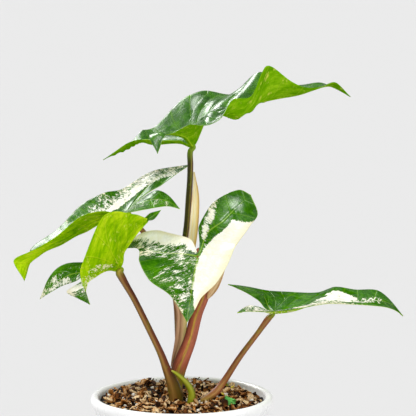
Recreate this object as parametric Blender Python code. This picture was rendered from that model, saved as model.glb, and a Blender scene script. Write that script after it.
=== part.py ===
"""Arrowhead plant in a white plastic pot, as separate closed solids.

Metres, +Z up. The origin is on the ground at the centre of the pot's foot, and the side the
photograph shows faces -Y. Sizes are written in millimetres and scaled by MM where a mesh is made.
"""
import math

import bmesh
import bpy
import numpy as np
from mathutils import Vector

MM = 0.001

# Driving sizes, in millimetres
GAP = 0.3                   # air between pieces that touch
POT_RIM_RADIUS = 60.5
POT_HEIGHT = 108
POT_FOOT_RADIUS = 42
POT_WALL = 1.6
POT_LIP_HEIGHT = 11.5
DRAIN_HOLE_RADIUS = 2.5
DRAIN_CIRCLE_RADIUS = 26
DRAIN_HOLES = 6
MIX_DEPTH_BELOW_RIM = 4.2
MIX_HEAPS = ((-24, 42, 15, 3.2), (12, 43, 13, 2.4), (-46, 14, 15, 1.2))   # x, y, size, rise
CROWN_CENTRE = (-2.5, 2)
CROWN_RADIUS = 10.8
CROWN_TOP = 105.5
CROWN_BOTTOM = 88
BLADE_THICKNESS = 1.0
BLADE_EDGE_THICKNESS = 0.6
BLADE_RINGS = (0.3, 0.58, 0.82, 1.0)
SHEATH_THICKNESS = 1.0

# The leaves. Every point is (across, along, x, y, z) in millimetres: where it lies on the flat
# leaf, measured from the point where the stalk meets it with the tip ahead, and where it is on
# the plant. The margin runs anticlockwise as seen from above; its lists start at a corner.
TOP_LEAF = {
    "notch_to_right_lobe": [
        (0, -4, 4.5, 0.5, 274.5), (7, -12, 0.5, -6, 279.5), (18, -29, -18, -22, 283.5),
        (33, -46, -19, -36, 280),
    ],
    "right_lobe_to_tip": [
        (44, -50, -15, -41, 273), (48, -41, -12.5, -40, 279.5), (42, -20, -6, -33, 285),
        (39, 2, 5.5, -32, 290.5), (40, 18, 17, -34, 290.5), (40, 29, 26, -32, 295.5),
        (38, 40, 33, -24, 306), (33, 53, 45.5, -20, 308.5), (30, 64, 54, -17, 326.5),
        (21, 80, 70, -14, 317.5), (15, 91, 82, -11, 312.5), (12, 98, 91, -9, 313),
        (7, 107, 100, -5, 315.5),
    ],
    "tip_to_left_lobe": [
        (0, 115, 110, -2, 306), (-6, 107, 100, 3, 311), (-12, 98, 90.5, 7, 314.5),
        (-16, 86, 76, 12, 312.5), (-30, 64, 50, 16, 320.5), (-36, 46, 34, 27, 305.5),
        (-41, 25, 14, 33, 307), (-43, 12, -1.5, 34, 300), (-43, -2, -17, 32, 284),
        (-42, -20, -26.5, 29, 281), (-49, -44, -40.5, 22, 269.5),
    ],
    "left_lobe_to_notch": [
        (-44, -50, -52, 14, 263), (-33, -48, -36.5, 9, 274), (-18, -29, -19, 6, 277),
        (-7, -12, -1, 0, 277),
    ],
    "inside": [
        (0, 0, 6.5, 2, 274.5), (0, 23, 16, -2, 292), (0, 48, 35.5, -3, 300.5),
        (0, 77, 67, -3, 306), (25, -21, -7, -26, 285.5), (38, -39, -14.5, -36, 284),
        (20, 23, 20.5, -18, 296), (18, 36, 30, -16, 293), (17, 45, 38, -15, 292.5),
        (15, 58, 48, -11, 299.5), (8, 85, 77, -8, 308), (-25, -21, -20, 16, 273.5),
        (-39, -41, -37.5, 17, 269),
    ],
}
BACK_LEAF = {
    "notch_to_right_lobe": [
        (0, -3, -34, 6.5, 231.5), (15, -23, -14.5, 22, 244.5),
    ],
    "right_lobe_to_tip": [
        (36, -40, 6.5, 36, 257.5), (34, -15, -21.5, 38, 252), (31, 2, -39, 30, 242),
        (32, 19, -51, 28, 239.5), (27, 40, -68, 24, 231), (15, 62, -86, 14, 214),
        (9, 74, -100, 5, 204),
    ],
    "tip_to_left_lobe": [
        (0, 86, -103.5, -4, 185), (-8, 80, -110, -8, 198.5), (-13, 72, -100.5, -13, 205),
        (-18, 60, -83.5, -19, 215), (-27, 40, -65.5, -24, 230), (-32, 19, -49.5, -22, 233.5),
        (-31, 2, -37, -24, 232.5), (-34, -15, -15.5, -22, 236),
    ],
    "left_lobe_to_notch": [
        (-36, -40, -1, -14, 234), (-15, -23, -16, -2, 244.5), (-6, -10, -28.5, 1, 237),
    ],
    "inside": [
        (0, 0, -36, 6, 229.5), (0, 17, -49, 3, 225.5), (0, 36, -63, 0, 218), (0, 58, -81, -3, 208.8),
        (0, 73, -94.5, -6, 201.5),
        (21, -16, -17.5, 28, 248.5), (-21, -16, -18.5, -10, 240),
    ],
}
FRONT_LEAF = {
    "notch_to_right_lobe": [
        (0, -2, -42, -29.5, 196), (3, -9, -49.5, -25.5, 197), (8, -21, -63, -26, 189),
        (15, -33, -74, -30, 182), (22, -38, -67, -38, 179.5),
    ],
    "right_lobe_to_tip": [
        (30, -41, -58.5, -43, 176), (30, -22, -63, -49, 190.5), (30, -9, -64, -49, 199.5),
        (29, 3, -60.5, -47, 209.5), (27, 15, -51, -44, 231.5), (23, 30, -39, -38, 235.5),
        (12, 48, -27.5, -32, 232.5), (7, 57, -18.5, -22, 228),
    ],
    "tip_to_left_lobe": [
        (0, 66, -13, -22, 234.5), (-7, 57, -20.5, -21, 232), (-12, 48, -25, -20, 227.5),
        (-23, 30, -36, -16, 219), (-27, 15, -48, -10, 207.5), (-26, 1, -58, -6, 198),
        (-36, -8, -75, -10, 197.5), (-40, -28, -87, -18, 188),
    ],
    "left_lobe_to_notch": [
        (-34, -49, -91.5, -28, 177), (-22, -32, -80, -24, 183.5), (-12, -20, -68.5, -20, 187.5),
        (-4, -8, -51, -22, 197.5),
    ],
    "inside": [
        (0, 0, -40.7, -31, 198), (0, 13, -38.7, -32, 204.5), (0, 28, -35, -33, 212.5),
        (0, 44, -25.5, -30, 224.5), (0, 57, -19, -26, 230.5), (16, -15, -56, -39, 194),
        (23, -26, -61, -45, 187.5), (-22, -17, -72.5, -16, 193),
    ],
}
CENTRE_LEAF = {
    "notch_to_right_lobe": [
        (0, -2, 10.5, -12, 204.5), (8, -14, 5.5, -6, 213), (24, -24, -14.5, -2, 218),
        (38, -30, -29, -8, 215.5),
    ],
    "right_lobe_to_tip": [
        (48, -29, -36.5, -18, 209), (42, -20, -32, -22, 209.5), (34, -11, -27.5, -27, 209),
        (32, 5, -27, -34, 202.5), (26, 24, -20, -43, 191.5), (14, 45, -6.5, -54, 183.5),
    ],
    "tip_to_left_lobe": [
        (0, 68, 4, -62, 168), (-12, 46, 12.5, -52, 181.5), (-22, 27, 22.5, -40, 189.5),
        (-29, 8, 30.5, -28, 201), (-33, -8, 35, -20, 210), (-41, -27, 44.5, -16, 223),
        (-48, -39, 49.5, -15, 231),
    ],
    "left_lobe_to_notch": [
        (-45, -53, 45, -12, 243), (-35, -53, 37.5, -6, 245.5), (-19, -42, 20.5, -2, 236.5),
        (-7, -20, 11, -5, 220),
    ],
    "inside": [
        (0, 0, 10.5, -14, 203), (0, 14, 9, -28, 197), (0, 29, 7.5, -42, 190), (0, 46, 6, -54, 181),
        (24, -15, -14, -16, 210), (-23, -29, 26.5, -14, 225.5),
    ],
}
RIGHT_LEAF = {
    "notch_to_right_lobe": [
        (0, -3, 57.4, -5.5, 165.4), (6, -11, 52.5, -12, 168.2), (18, -27, 43, -20, 171),
    ],
    "right_lobe_to_tip": [
        (34, -37, 36, -38, 170), (32, -15, 45, -40, 171), (32, 2, 57, -33, 169.5),
        (33, 20, 72, -36, 171.5), (28, 41, 91.5, -33, 174.5), (15, 65, 113.5, -26, 173),
        (11, 75, 132, -18, 170),
    ],
    "tip_to_left_lobe": [
        (0, 90, 145, -12, 163), (-11, 75, 129.5, 5, 177), (-15, 65, 116.5, 11, 176.5),
        (-24, 47, 101, 16, 177.5), (-29, 34, 90.5, 18, 173.5), (-33, 20, 72, 20, 173.5),
        (-32, 2, 54.5, 22, 174.5), (-32, -15, 42.5, 27, 176),
    ],
    "left_lobe_to_notch": [
        (-34, -37, 30.5, 24, 178), (-14, -22, 47.5, 7, 172), (-5, -9, 54.2, 0, 166.6),
    ],
    "inside": [
        (0, 0, 59.8, -6, 165.2), (0, 18, 75, -8, 167), (0, 38, 96, -8, 174),
        (0, 60, 117.5, -10, 172), (-19, -15, 52.5, 14, 173.5), (19, -15, 47, -29, 171.5),
    ],
}

# Stalks, from the leaf down to the crown: (x, y, z, radius) in millimetres. The end under the
# leaf is worked out from the leaf.
STALKS = {
    "top": [(5.8, 0.5, 270.2, 1.8), (5.7, 1.2, 260.9, 1.9), (5.4, 2, 250.9, 1.9),
            (4.6, 3.5, 238.8, 2), (3.4, 5, 222.3, 2), (2, 5.8, 210.6, 2), (-0.3, 7, 176.9, 2),
            (-2.3, 7.6, 149.9, 2), (-3.8, 8, 128.2, 2), (-5.1, 8.8, 107.7, 2),
            (-5.3, 8.9, 100.2, 2)],
    "back": [(-32, 8.5, 222.2, 1.7), (-27.1, 10, 217.3, 1.7), (-17.3, 12.5, 202.9, 1.8),
             (-8, 14, 183.8, 1.9), (-4.4, 14, 170.3, 2), (-2.8, 13.5, 142, 2),
             (-1.8, 11.5, 115.3, 2), (-1.4, 10.5, 100.5, 2)],
    "front": [(-39.6, -33.3, 195.2, 2.5), (-38.2, -31.8, 191.8, 2.5), (-35.8, -27.8, 186.4, 2.2),
              (-31, -22.9, 176.8, 2), (-22, -18, 157.2, 2.1), (-13.3, -13.2, 137.2, 2.4),
              (-10, -10.4, 127.3, 2.9), (-6.8, -7.8, 118.7, 3.8), (-4.3, -5.4, 109.4, 4.6),
              (-3.8, -4.2, 102.6, 4.5)],
    "centre": [(11.6, -6, 205.1, 2.3), (13.6, -1, 199, 2.6), (15.9, 4, 187.5, 3),
               (15.6, 5.4, 178.6, 3.5), (13.6, 5.2, 171.6, 3.9), (10, 4, 162.6, 4),
               (5, 0.8, 144, 4.3), (0.5, 0.8, 132.4, 4.7), (-2.3, 1.8, 124.8, 4.9),
               (-3.4, 3, 117.1, 4.2), (-3.8, 3.6, 109.5, 2.9), (-3.9, 3.8, 100.6, 2.9)],
    "right": [(57.4, -5.3, 160.6, 2), (50.3, -4, 150.5, 1.7), (38, -1, 133.1, 1.9),
              (27.2, 0.8, 115.9, 2.3), (22.2, -1.5, 109.9, 2.6), (16.2, -4, 106.2, 2.4),
              (11.9, -4.4, 104.4, 2.1), (8.3, -3.6, 102.6, 2), (3.3, -1, 99, 2)],
}
STALK_DEPTHS = {"front": 0.85, "centre": 0.6}   # share of the width, where it isn't round
STALK_END_RADIUS = 1.5

# Sheaths, from the tip down: (x, y, z, half width)
SHEATHS = {
    "sheath_top": [(8, -0.6, 256.5, 0.5), (8.5, -0.9, 251.3, 1), (9, -1, 245.5, 1.8),
                   (9, -0.6, 238, 2.5), (8.5, 0.4, 228, 2.8), (7.5, 1.6, 216.5, 2.9),
                   (6, 2.6, 204.4, 2.6), (3.7, 3.2, 187.6, 1.6)],
    "sheath_left": [(-5.2, 2.6, 177.7, 1.6), (-2.9, 3, 171.6, 2.9), (-0.5, 3.5, 163.5, 3.4),
                    (-0.3, 3.9, 154, 3.5), (-2, 4.2, 141.1, 3.2), (-4.7, 4.4, 131.7, 2.2),
                    (-6.8, 4.6, 125.5, 0.9)],
    "sheath_centre": [(27.9, 2.1, 191.6, 0.5), (25, 2.6, 185.8, 1.7), (21.7, 3, 180.1, 2.5),
                      (18.8, 3, 175.4, 2), (16.9, 2.8, 171.8, 0.6)],
}

AERIAL_ROOT = [(-6.8, -12.6, 126.7, 0.5), (-4.3, -12.9, 125.3, 1.1), (-0.6, -12.2, 122.1, 1.6),
               (4.1, -11, 116.8, 2), (6.5, -10.2, 111.2, 2.3), (6.2, -9.8, 105, 2.6)]

# Loose pieces on the mix: (x, y, length, width, height, turn in degrees)
BARK = [
    (-37, 30, 11, 6, 3.6, 25), (-22, 39, 10, 6, 3.6, -20), (-4, 44, 10, 6, 3.4, 60),
    (16, 42, 9, 6, 3.2, 10), (38, 27, 11, 6, 3.4, -40), (45, 12, 9, 6, 3.2, 75),
    (-45, 8, 10, 6, 3.2, 80), (-27, 16, 10, 6, 3.4, 35), (-41, -13, 9, 6, 3.2, -60),
    (-22, -14, 10, 6, 3.2, 15), (-28, -34, 10, 6, 3.4, 40), (-8, -28, 9, 6, 3.2, -30),
    (9, -38, 10, 6, 3.2, 5), (23, -28, 9, 6, 3.2, -50), (42, -17, 10, 6, 3.2, 60),
    (20, 24, 9, 6, 3.2, 35),
]
PERLITE = [
    (-8, 27, 6, 5, 4, 0), (29, 15, 6, 5, 4, 30), (-33, -2, 5, 5, 4, 10), (-16, -43, 6, 5, 4, 50),
    (27, -37, 6, 5, 4, 20), (9, -20, 5, 4, 4, 70), (-20, 25, 5, 4, 4, 40), (46, -4, 5, 4, 3.5, 0),
]
MOSS = (31, -17, 9, 7, 5.4, 20)
SPROUT = [(30.5, 32, 105.4, 0.9), (30.3, 32, 106.6, 1.0), (29.9, 31.8, 108.4, 0.5)]


# General helpers
def clear_scene():
    for thing in list(bpy.data.objects):
        bpy.data.objects.remove(thing, do_unlink=True)


def material(name, colour, roughness, metallic=0.0):
    made = bpy.data.materials.get(name) or bpy.data.materials.new(name)
    made.use_nodes = True
    shader = made.node_tree.nodes["Principled BSDF"]
    shader.inputs["Base Color"].default_value = (*colour, 1)
    shader.inputs["Roughness"].default_value = roughness
    shader.inputs["Metallic"].default_value = metallic
    made.diffuse_color = (*colour, 1)
    return made


def solid(name, points_mm, faces, surface):
    """One object from points in millimetres."""
    mesh = bpy.data.meshes.new(name)
    mesh.from_pydata([tuple(float(c) * MM for c in p) for p in points_mm], [], faces)
    mesh.materials.append(surface)
    made = bpy.data.objects.new(name, mesh)
    bpy.context.scene.collection.objects.link(made)
    work = bmesh.new()
    work.from_mesh(mesh)
    bmesh.ops.recalc_face_normals(work, faces=work.faces)
    work.to_mesh(mesh)
    work.free()
    return made


def cut_away(body, cutter):
    """Takes the cutter's shape out of the body."""
    cutter.hide_render = True
    cutter.display_type = 'WIRE'
    cut = body.modifiers.new("cut " + cutter.name, 'BOOLEAN')
    cut.operation = 'DIFFERENCE'
    cut.solver = 'EXACT'
    cut.object = cutter


def lathe(name, profile, sides, surface, centre=(0, 0)):
    """A closed body turned round a vertical axis; the profile starts and ends on the axis."""
    points = [(centre[0], centre[1], profile[0][1])]
    rings = profile[1:-1]
    for radius, height in rings:
        for k in range(sides):
            turn = 2 * math.pi * k / sides
            points.append((centre[0] + radius * math.cos(turn),
                           centre[1] + radius * math.sin(turn), height))
    points.append((centre[0], centre[1], profile[-1][1]))
    last = len(points) - 1
    faces = []
    for k in range(sides):
        after = (k + 1) % sides
        faces.append((0, 1 + after, 1 + k))
        for r in range(len(rings) - 1):
            low, high = 1 + r * sides, 1 + (r + 1) * sides
            faces.append((low + k, low + after, high + after, high + k))
        top = 1 + (len(rings) - 1) * sides
        faces.append((top + k, top + after, last))
    return solid(name, points, faces, surface)


def smooth_route(knots, per_span):
    """A Catmull-Rom curve through rows of numbers, spaced by the square root of their distance."""
    rows = [np.array(k, float) for k in knots]
    rows = [2 * rows[0] - rows[1]] + rows + [2 * rows[-1] - rows[-2]]
    out = []
    for before, start, end, after in zip(rows, rows[1:], rows[2:], rows[3:]):
        t1 = np.linalg.norm(start - before) ** 0.5
        t2 = t1 + np.linalg.norm(end - start) ** 0.5
        t3 = t2 + np.linalg.norm(after - end) ** 0.5
        for k in range(per_span):
            t = t1 + (t2 - t1) * k / per_span
            a = (t1 - t) / t1 * before + t / t1 * start
            b = (t2 - t) / (t2 - t1) * start + (t - t1) / (t2 - t1) * end
            c = (t3 - t) / (t3 - t2) * end + (t - t2) / (t3 - t2) * after
            ab = (t2 - t) / t2 * a + t / t2 * b
            bc = (t3 - t) / (t3 - t1) * b + (t - t1) / (t3 - t1) * c
            out.append((t2 - t) / (t2 - t1) * ab + (t - t1) / (t2 - t1) * bc)
    out.append(rows[-2])
    return np.array(out)


def swept(name, route, widths, depths, sides, surface, facing=None):
    """A closed body along a route, with an oval section that keeps its broad side to `facing`."""
    route = np.asarray(route, float)
    along = np.gradient(route, axis=0)
    along /= np.linalg.norm(along, axis=1)[:, None]
    if facing is None:
        facing = (0, -1, 0)
    points, faces = [], []
    for place, way, width, depth in zip(route, along, widths, depths):
        broad = np.cross(way, facing)
        broad /= np.linalg.norm(broad)
        deep = np.cross(way, broad)
        for k in range(sides):
            turn = 2 * math.pi * k / sides
            points.append(place + broad * width * math.cos(turn) + deep * depth * math.sin(turn))
    for r in range(len(route) - 1):
        for k in range(sides):
            after = (k + 1) % sides
            faces.append((r * sides + k, r * sides + after,
                          (r + 1) * sides + after, (r + 1) * sides + k))
    faces.append(tuple(reversed(range(sides))))
    faces.append(tuple(range((len(route) - 1) * sides, len(route) * sides)))
    return solid(name, points, faces, surface)


# Leaf blades
class BentSheet:
    """Carries the flat leaf to its place by a thin-plate spline through the leaf's points."""

    def __init__(self, leaf):
        rows = np.array([row for part in leaf.values() for row in part], float)
        self.flat, self.placed = rows[:, :2], rows[:, 2:]
        count = len(rows)
        system = np.zeros((count + 3, count + 3))
        system[:count, :count] = self.bend(self.flat)
        system[:count, count] = system[count, :count] = 1
        system[:count, count + 1:] = self.flat
        system[count + 1:, :count] = self.flat.T
        self.weights = np.linalg.solve(system, np.vstack([self.placed, np.zeros((3, 3))]))

    def bend(self, where):
        apart = np.linalg.norm(where[:, None] - self.flat[None], axis=2)
        return apart ** 2 * np.log(np.maximum(apart, 1e-9))

    def place(self, where):
        where = np.asarray(where, float)
        count = len(self.flat)
        return self.bend(where) @ self.weights[:count] + self.weights[count] \
            + where @ self.weights[count + 1:]

    def upward(self, where):
        """Unit normals of the upper side."""
        step = 0.25
        where = np.asarray(where, float)
        across = self.place(where + (step, 0)) - self.place(where - (step, 0))
        ahead = self.place(where + (0, step)) - self.place(where - (0, step))
        normal = np.cross(across, ahead)
        return normal / np.linalg.norm(normal, axis=1)[:, None]


def margin(leaf, spacing):
    """The flat leaf's edge, anticlockwise, with a corner at each lobe's tip."""
    parts = ("notch_to_right_lobe", "right_lobe_to_tip", "tip_to_left_lobe", "left_lobe_to_notch")
    edge = []
    for part, following in zip(parts, parts[1:] + parts[:1]):
        knots = [row[:2] for row in leaf[part]] + [leaf[following][0][:2]]
        curve = smooth_route(knots, 10)
        length = np.concatenate([[0], np.cumsum(np.linalg.norm(np.diff(curve, axis=0), axis=1))])
        steps = max(3, round(length[-1] / spacing))
        marks = np.linspace(0, length[-1], steps + 1)[:-1]
        edge += [(np.interp(m, length, curve[:, 0]), np.interp(m, length, curve[:, 1]))
                 for m in marks]
    return np.array(edge)


def blade(name, leaf, surface):
    sheet = BentSheet(leaf)
    edge = margin(leaf, 6.0)
    flat = np.vstack([np.zeros((1, 2))] + [edge * share for share in BLADE_RINGS])
    half = np.full(len(flat), BLADE_THICKNESS / 2)
    half[-len(edge):] = BLADE_EDGE_THICKNESS / 2
    middle, normal = sheet.place(flat), sheet.upward(flat)
    upper = middle + normal * half[:, None]
    under = middle - normal * half[:, None]
    count, size = len(edge), len(flat)
    faces = []
    for k in range(count):
        after = (k + 1) % count
        sheet_faces = [(0, 1 + k, 1 + after)]
        for r in range(len(BLADE_RINGS) - 1):
            inner, outer = 1 + r * count, 1 + (r + 1) * count
            sheet_faces.append((inner + k, outer + k, outer + after))
            sheet_faces.append((inner + k, outer + after, inner + after))
        faces += sheet_faces
        faces += [tuple(size + v for v in reversed(face)) for face in sheet_faces]
        rim = 1 + (len(BLADE_RINGS) - 1) * count
        faces.append((rim + k, size + rim + k, size + rim + after, rim + after))
    return solid(name, np.vstack([upper, under]), faces, surface), sheet


def stalk(name, route, sheet, surface, crown_room, depth):
    """A stalk from just under the leaf down into the crown's room, where it is cut off."""
    joint = sheet.place([(0, 0)])[0]
    normal = sheet.upward([(0, 0)])[0]
    first = np.array(route[0][:3])
    way = (joint - first) / np.linalg.norm(joint - first)
    tilt = math.sqrt(max(0.0, 1 - float(way @ normal) ** 2))
    below = BLADE_THICKNESS / 2 + GAP + 0.1 + STALK_END_RADIUS * tilt
    knots = [(*(joint - normal * below), STALK_END_RADIUS)] + list(route)
    rows = smooth_route(knots, 3)
    made = swept(name, rows[:, :3], rows[:, 3], rows[:, 3] * depth, 10, surface)
    cut_away(made, crown_room)
    return made, rows


# Pot, mix and loose pieces
def pot(surface):
    r, h, lip = POT_RIM_RADIUS, POT_HEIGHT, POT_HEIGHT - POT_LIP_HEIGHT
    wall_top = r - 6.2
    profile = [
        (0, 0), (POT_FOOT_RADIUS - 1.2, 0), (POT_FOOT_RADIUS, 1.2), (wall_top, lip - 2),
        (wall_top + 1.9, h - 5), (r - POT_WALL - 0.6, h - 5), (r - POT_WALL - 3, lip + 0.3),
        (r - POT_WALL - 2.6, lip), (r - 3.6, lip), (r - 3.2, lip + 0.4), (r - 0.3, h - 4.8),
        (r, h - 3), (r - 0.5, h - 1.2), (r - 1.7, h - 0.2), (r - 3, h), (r - 4.4, h - 0.5),
        (r - 5.2, h - 1.6), (r - 5.5, h - 3.5), (r - 7.9, h - 13),
        (POT_FOOT_RADIUS - POT_WALL, 1.8), (0, 1.8),
    ]
    made = lathe("pot", profile, 48, surface)
    for k in range(DRAIN_HOLES):
        turn = 2 * math.pi * (k + 0.5) / DRAIN_HOLES
        centre = (DRAIN_CIRCLE_RADIUS * math.cos(turn), DRAIN_CIRCLE_RADIUS * math.sin(turn))
        hole = lathe("drain_%d" % k, [(0, -2), (DRAIN_HOLE_RADIUS, -2), (DRAIN_HOLE_RADIUS, 4), (0, 4)],
                     12, surface, centre)
        cut_away(made, hole)
    return made


def mix_height(x, y):
    """The mix's top: gentle waves, with the heaps against the back of the pot."""
    level = POT_HEIGHT - MIX_DEPTH_BELOW_RIM + 0.3 * math.sin(x / 6.5 + 1) * math.cos(y / 7.5)
    for heap_x, heap_y, size, rise in MIX_HEAPS:
        level += rise * math.exp(-((x - heap_x) ** 2 + (y - heap_y) ** 2) / (2 * size ** 2))
    return level


def potting_mix(surface):
    inside_top = POT_RIM_RADIUS - 5.9 - GAP
    inside_foot = POT_FOOT_RADIUS - POT_WALL - GAP
    sides = 40
    rings = [(inside_foot, 1.8 + GAP), (POT_RIM_RADIUS - 7.9 - GAP, POT_HEIGHT - 13)]
    top_radii = (inside_top, 46, 36, 26, 17)
    points = [(0, 0, 1.8 + GAP)]
    for radius, height in rings:
        points += [(radius * math.cos(2 * math.pi * k / sides),
                    radius * math.sin(2 * math.pi * k / sides), height) for k in range(sides)]
    for radius in top_radii:
        for k in range(sides):
            x = radius * math.cos(2 * math.pi * k / sides)
            y = radius * math.sin(2 * math.pi * k / sides)
            points.append((x, y, mix_height(x, y)))
    points.append((0, 0, mix_height(0, 0)))
    last = len(points) - 1
    levels = len(rings) + len(top_radii)
    faces = []
    for k in range(sides):
        after = (k + 1) % sides
        faces.append((0, 1 + after, 1 + k))
        for r in range(levels - 1):
            low, high = 1 + r * sides, 1 + (r + 1) * sides
            faces.append((low + k, low + after, high + after))
            faces.append((low + k, high + after, high + k))
        faces.append((1 + (levels - 1) * sides + k, 1 + (levels - 1) * sides + after, last))
    made = solid("potting_mix", points, faces, surface)
    well = lathe("well", [(0, CROWN_BOTTOM - GAP), (CROWN_RADIUS + GAP, CROWN_BOTTOM - GAP),
                          (CROWN_RADIUS + GAP, POT_HEIGHT + 20), (0, POT_HEIGHT + 20)],
                 24, surface, CROWN_CENTRE)
    cut_away(made, well)
    return made


def crown_profile(grow):
    r, top = CROWN_RADIUS + grow, CROWN_TOP + grow
    return [(0, CROWN_BOTTOM - grow), (r, CROWN_BOTTOM - grow), (r, top - 2.4), (r - 1.2, top - 0.8),
            (r - 3.2, top), (0, top)]


def lump(name, place, surface, seed, sharp):
    """A small rough piece lying on the mix."""
    x, y, length, width, height, turn = place
    work = bmesh.new()
    bmesh.ops.create_icosphere(work, subdivisions=1 if sharp else 2, radius=1)
    spin = math.radians(turn)
    rough = np.random.default_rng(seed)
    points = []
    for vertex in work.verts:
        bump = 1 + rough.uniform(-0.13, 0.13)
        a, b, c = (vertex.co * bump)
        c = max(-0.8, min(0.8, c))
        a, b, c = a * length / 2, b * width / 2, (c + 0.8) / 1.6 * height
        points.append((x + a * math.cos(spin) - b * math.sin(spin),
                       y + a * math.sin(spin) + b * math.cos(spin), c))
    ground = max(mix_height(p[0], p[1]) - p[2] for p in points)
    points = [(p[0], p[1], p[2] + ground + GAP) for p in points]
    faces = [tuple(v.index for v in face.verts) for face in work.faces]
    work.free()
    return solid(name, points, faces, surface)


# The plant
def build():
    clear_scene()
    white = material("white_plastic", (0.86, 0.86, 0.85), 0.25)
    soil = material("soil", (0.06, 0.035, 0.02), 0.9)
    bark_brown = material("bark", (0.16, 0.075, 0.035), 0.8)
    perlite_white = material("perlite", (0.8, 0.78, 0.72), 0.85)
    leaf_green = material("leaf", (0.07, 0.2, 0.04), 0.25)
    stalk_brown = material("stalk", (0.16, 0.08, 0.035), 0.4)
    sheath_cream = material("sheath", (0.72, 0.6, 0.38), 0.5)
    root_green = material("root", (0.5, 0.55, 0.12), 0.45)
    moss_green = material("moss", (0.1, 0.2, 0.04), 0.85)
    crown_brown = material("crown", (0.14, 0.09, 0.04), 0.7)

    pot(white)
    mix = potting_mix(soil)
    lathe("crown", crown_profile(0), 20, crown_brown, CROWN_CENTRE)
    crown_room = lathe("crown_room", crown_profile(GAP), 20, crown_brown, CROWN_CENTRE)

    leaves = {"top": TOP_LEAF, "back": BACK_LEAF, "front": FRONT_LEAF,
              "centre": CENTRE_LEAF, "right": RIGHT_LEAF}
    for name, leaf in leaves.items():
        made, sheet = blade("leaf_" + name, leaf, leaf_green)
        made, rows = stalk("stalk_" + name, STALKS[name], sheet, stalk_brown, crown_room,
                           STALK_DEPTHS.get(name, 1))
        if name == "right":
            groove = swept("groove", rows[-12:, :3], rows[-12:, 3] + GAP, rows[-12:, 3] + GAP, 10,
                           soil)
            cut_away(mix, groove)

    for name, knots in SHEATHS.items():
        rows = smooth_route(knots, 2)
        swept(name, rows[:, :3], rows[:, 3], np.full(len(rows), SHEATH_THICKNESS / 2), 8,
              sheath_cream)
    rows = smooth_route(AERIAL_ROOT, 2)
    swept("aerial_root", rows[:, :3], rows[:, 3], rows[:, 3], 10, root_green, (1, 0, 0.2))
    rows = smooth_route(SPROUT, 2)
    swept("sprout", rows[:, :3], rows[:, 3], rows[:, 3], 8, root_green)

    for k, place in enumerate(BARK):
        lump("bark_%02d" % (k + 1), place, bark_brown, 20 + k, True)
    for k, place in enumerate(PERLITE):
        lump("perlite_%d" % (k + 1), place, perlite_white, 60 + k, True)
    lump("moss", MOSS, moss_green, 90, False)


build()
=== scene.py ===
"""The potted arrowhead plant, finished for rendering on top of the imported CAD.

The frame is the CAD's: metres, +Z up, the pot's foot on z = 0, the photographed side towards -Y.
Sizes are written in millimetres and scaled by MM where a mesh is made.
"""

import math

import bmesh
import bpy
import numpy as np
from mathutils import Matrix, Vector


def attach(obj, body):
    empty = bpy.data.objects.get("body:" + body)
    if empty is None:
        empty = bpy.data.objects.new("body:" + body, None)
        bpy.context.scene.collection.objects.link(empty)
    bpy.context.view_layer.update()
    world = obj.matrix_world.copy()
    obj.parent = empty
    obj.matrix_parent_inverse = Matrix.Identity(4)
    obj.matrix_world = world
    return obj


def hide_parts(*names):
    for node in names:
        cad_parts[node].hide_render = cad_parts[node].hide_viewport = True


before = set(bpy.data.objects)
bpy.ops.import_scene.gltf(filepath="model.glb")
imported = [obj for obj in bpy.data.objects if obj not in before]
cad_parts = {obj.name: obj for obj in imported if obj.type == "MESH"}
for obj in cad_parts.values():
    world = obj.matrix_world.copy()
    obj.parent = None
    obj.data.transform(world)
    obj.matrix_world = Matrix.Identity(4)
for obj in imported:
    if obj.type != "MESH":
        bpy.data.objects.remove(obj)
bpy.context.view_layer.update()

MM = 0.001
TO_THE_FRONT = (0, -1, 0)

# Camera: the photograph's view, with its pitch in degrees below level
CAMERA_PLACE = (17.2, -1469.2, 431.3)
CAMERA_PITCH = 7.7
CAMERA_LENS = 195.75
CAMERA_SENSOR = 36

# Soft lights: name, strength, width in degrees, and where the light comes from
LIGHTS = (
    ("back_left", 2.2, 30, (-0.5, 0.62, 0.6)),
    ("front_left", 1.8, 24, (-0.45, -0.55, 0.75)),
    ("front_right", 1.5, 60, (0.75, -0.5, 0.48)),
)
SKY = 0.28   # strength of the white sky
FLOOR = 0.618   # brightness of the floor
FLOOR_RADIUS = 40   # in metres
FLOOR_SIDES = 96

# Sizes shared with the CAD
POT_RIM_RADIUS = 60.5
POT_HEIGHT = 108
POT_FOOT_RADIUS = 42
POT_WALL = 1.6
POT_LIP_HEIGHT = 11.5
MIX_BOTTOM = 2.1
MIX_DEPTH_BELOW_RIM = 4.2
MIX_HEAPS = ((-24, 42, 15, 3.2), (12, 43, 13, 2.4), (-46, 14, 15, 1.2))   # x, y, size, rise
CROWN_CENTRE = (-2.5, 2, 96.8)
CROWN_SIZE = (9.6, 9.4, 8)   # its three half axes

# Points round or across each kind of piece, and rings of points in it
MARGIN_POINTS, BLADE_RINGS = 340, 96
STALK_SIDES = 36
SHEATH_POINTS = 25
POT_SIDES = 160
MIX_SIDES, MIX_RINGS = 180, 60
GREEN_BIT_SIDES, GREEN_BIT_RINGS = 96, 12
FIBRE_SIDES, FIBRE_RINGS = 5, 9
MARGIN_STEPS, STALK_STEPS, SHEATH_STEPS = 24, 26, 20   # points between two knots of a curve

# Half the thickness of a blade: shares of the way from the stalk to the margin, and millimetres
BLADE_HALF_THICKNESS = ((0, 0.965, 0.99, 1), (0.25, 0.25, 0.171429, 0.06))
FAR_FROM_RIB = 9   # stands for every place where a rib doesn't show
VEIN_SPACING, LOBE_VEIN_SPACING = 0.135, 0.22   # shares of the blade's and of the lobe's length
VEIN_LEAN = (0.52, 0.0065)   # what a vein gains on its way from the midrib: per mm and per mm2

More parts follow.
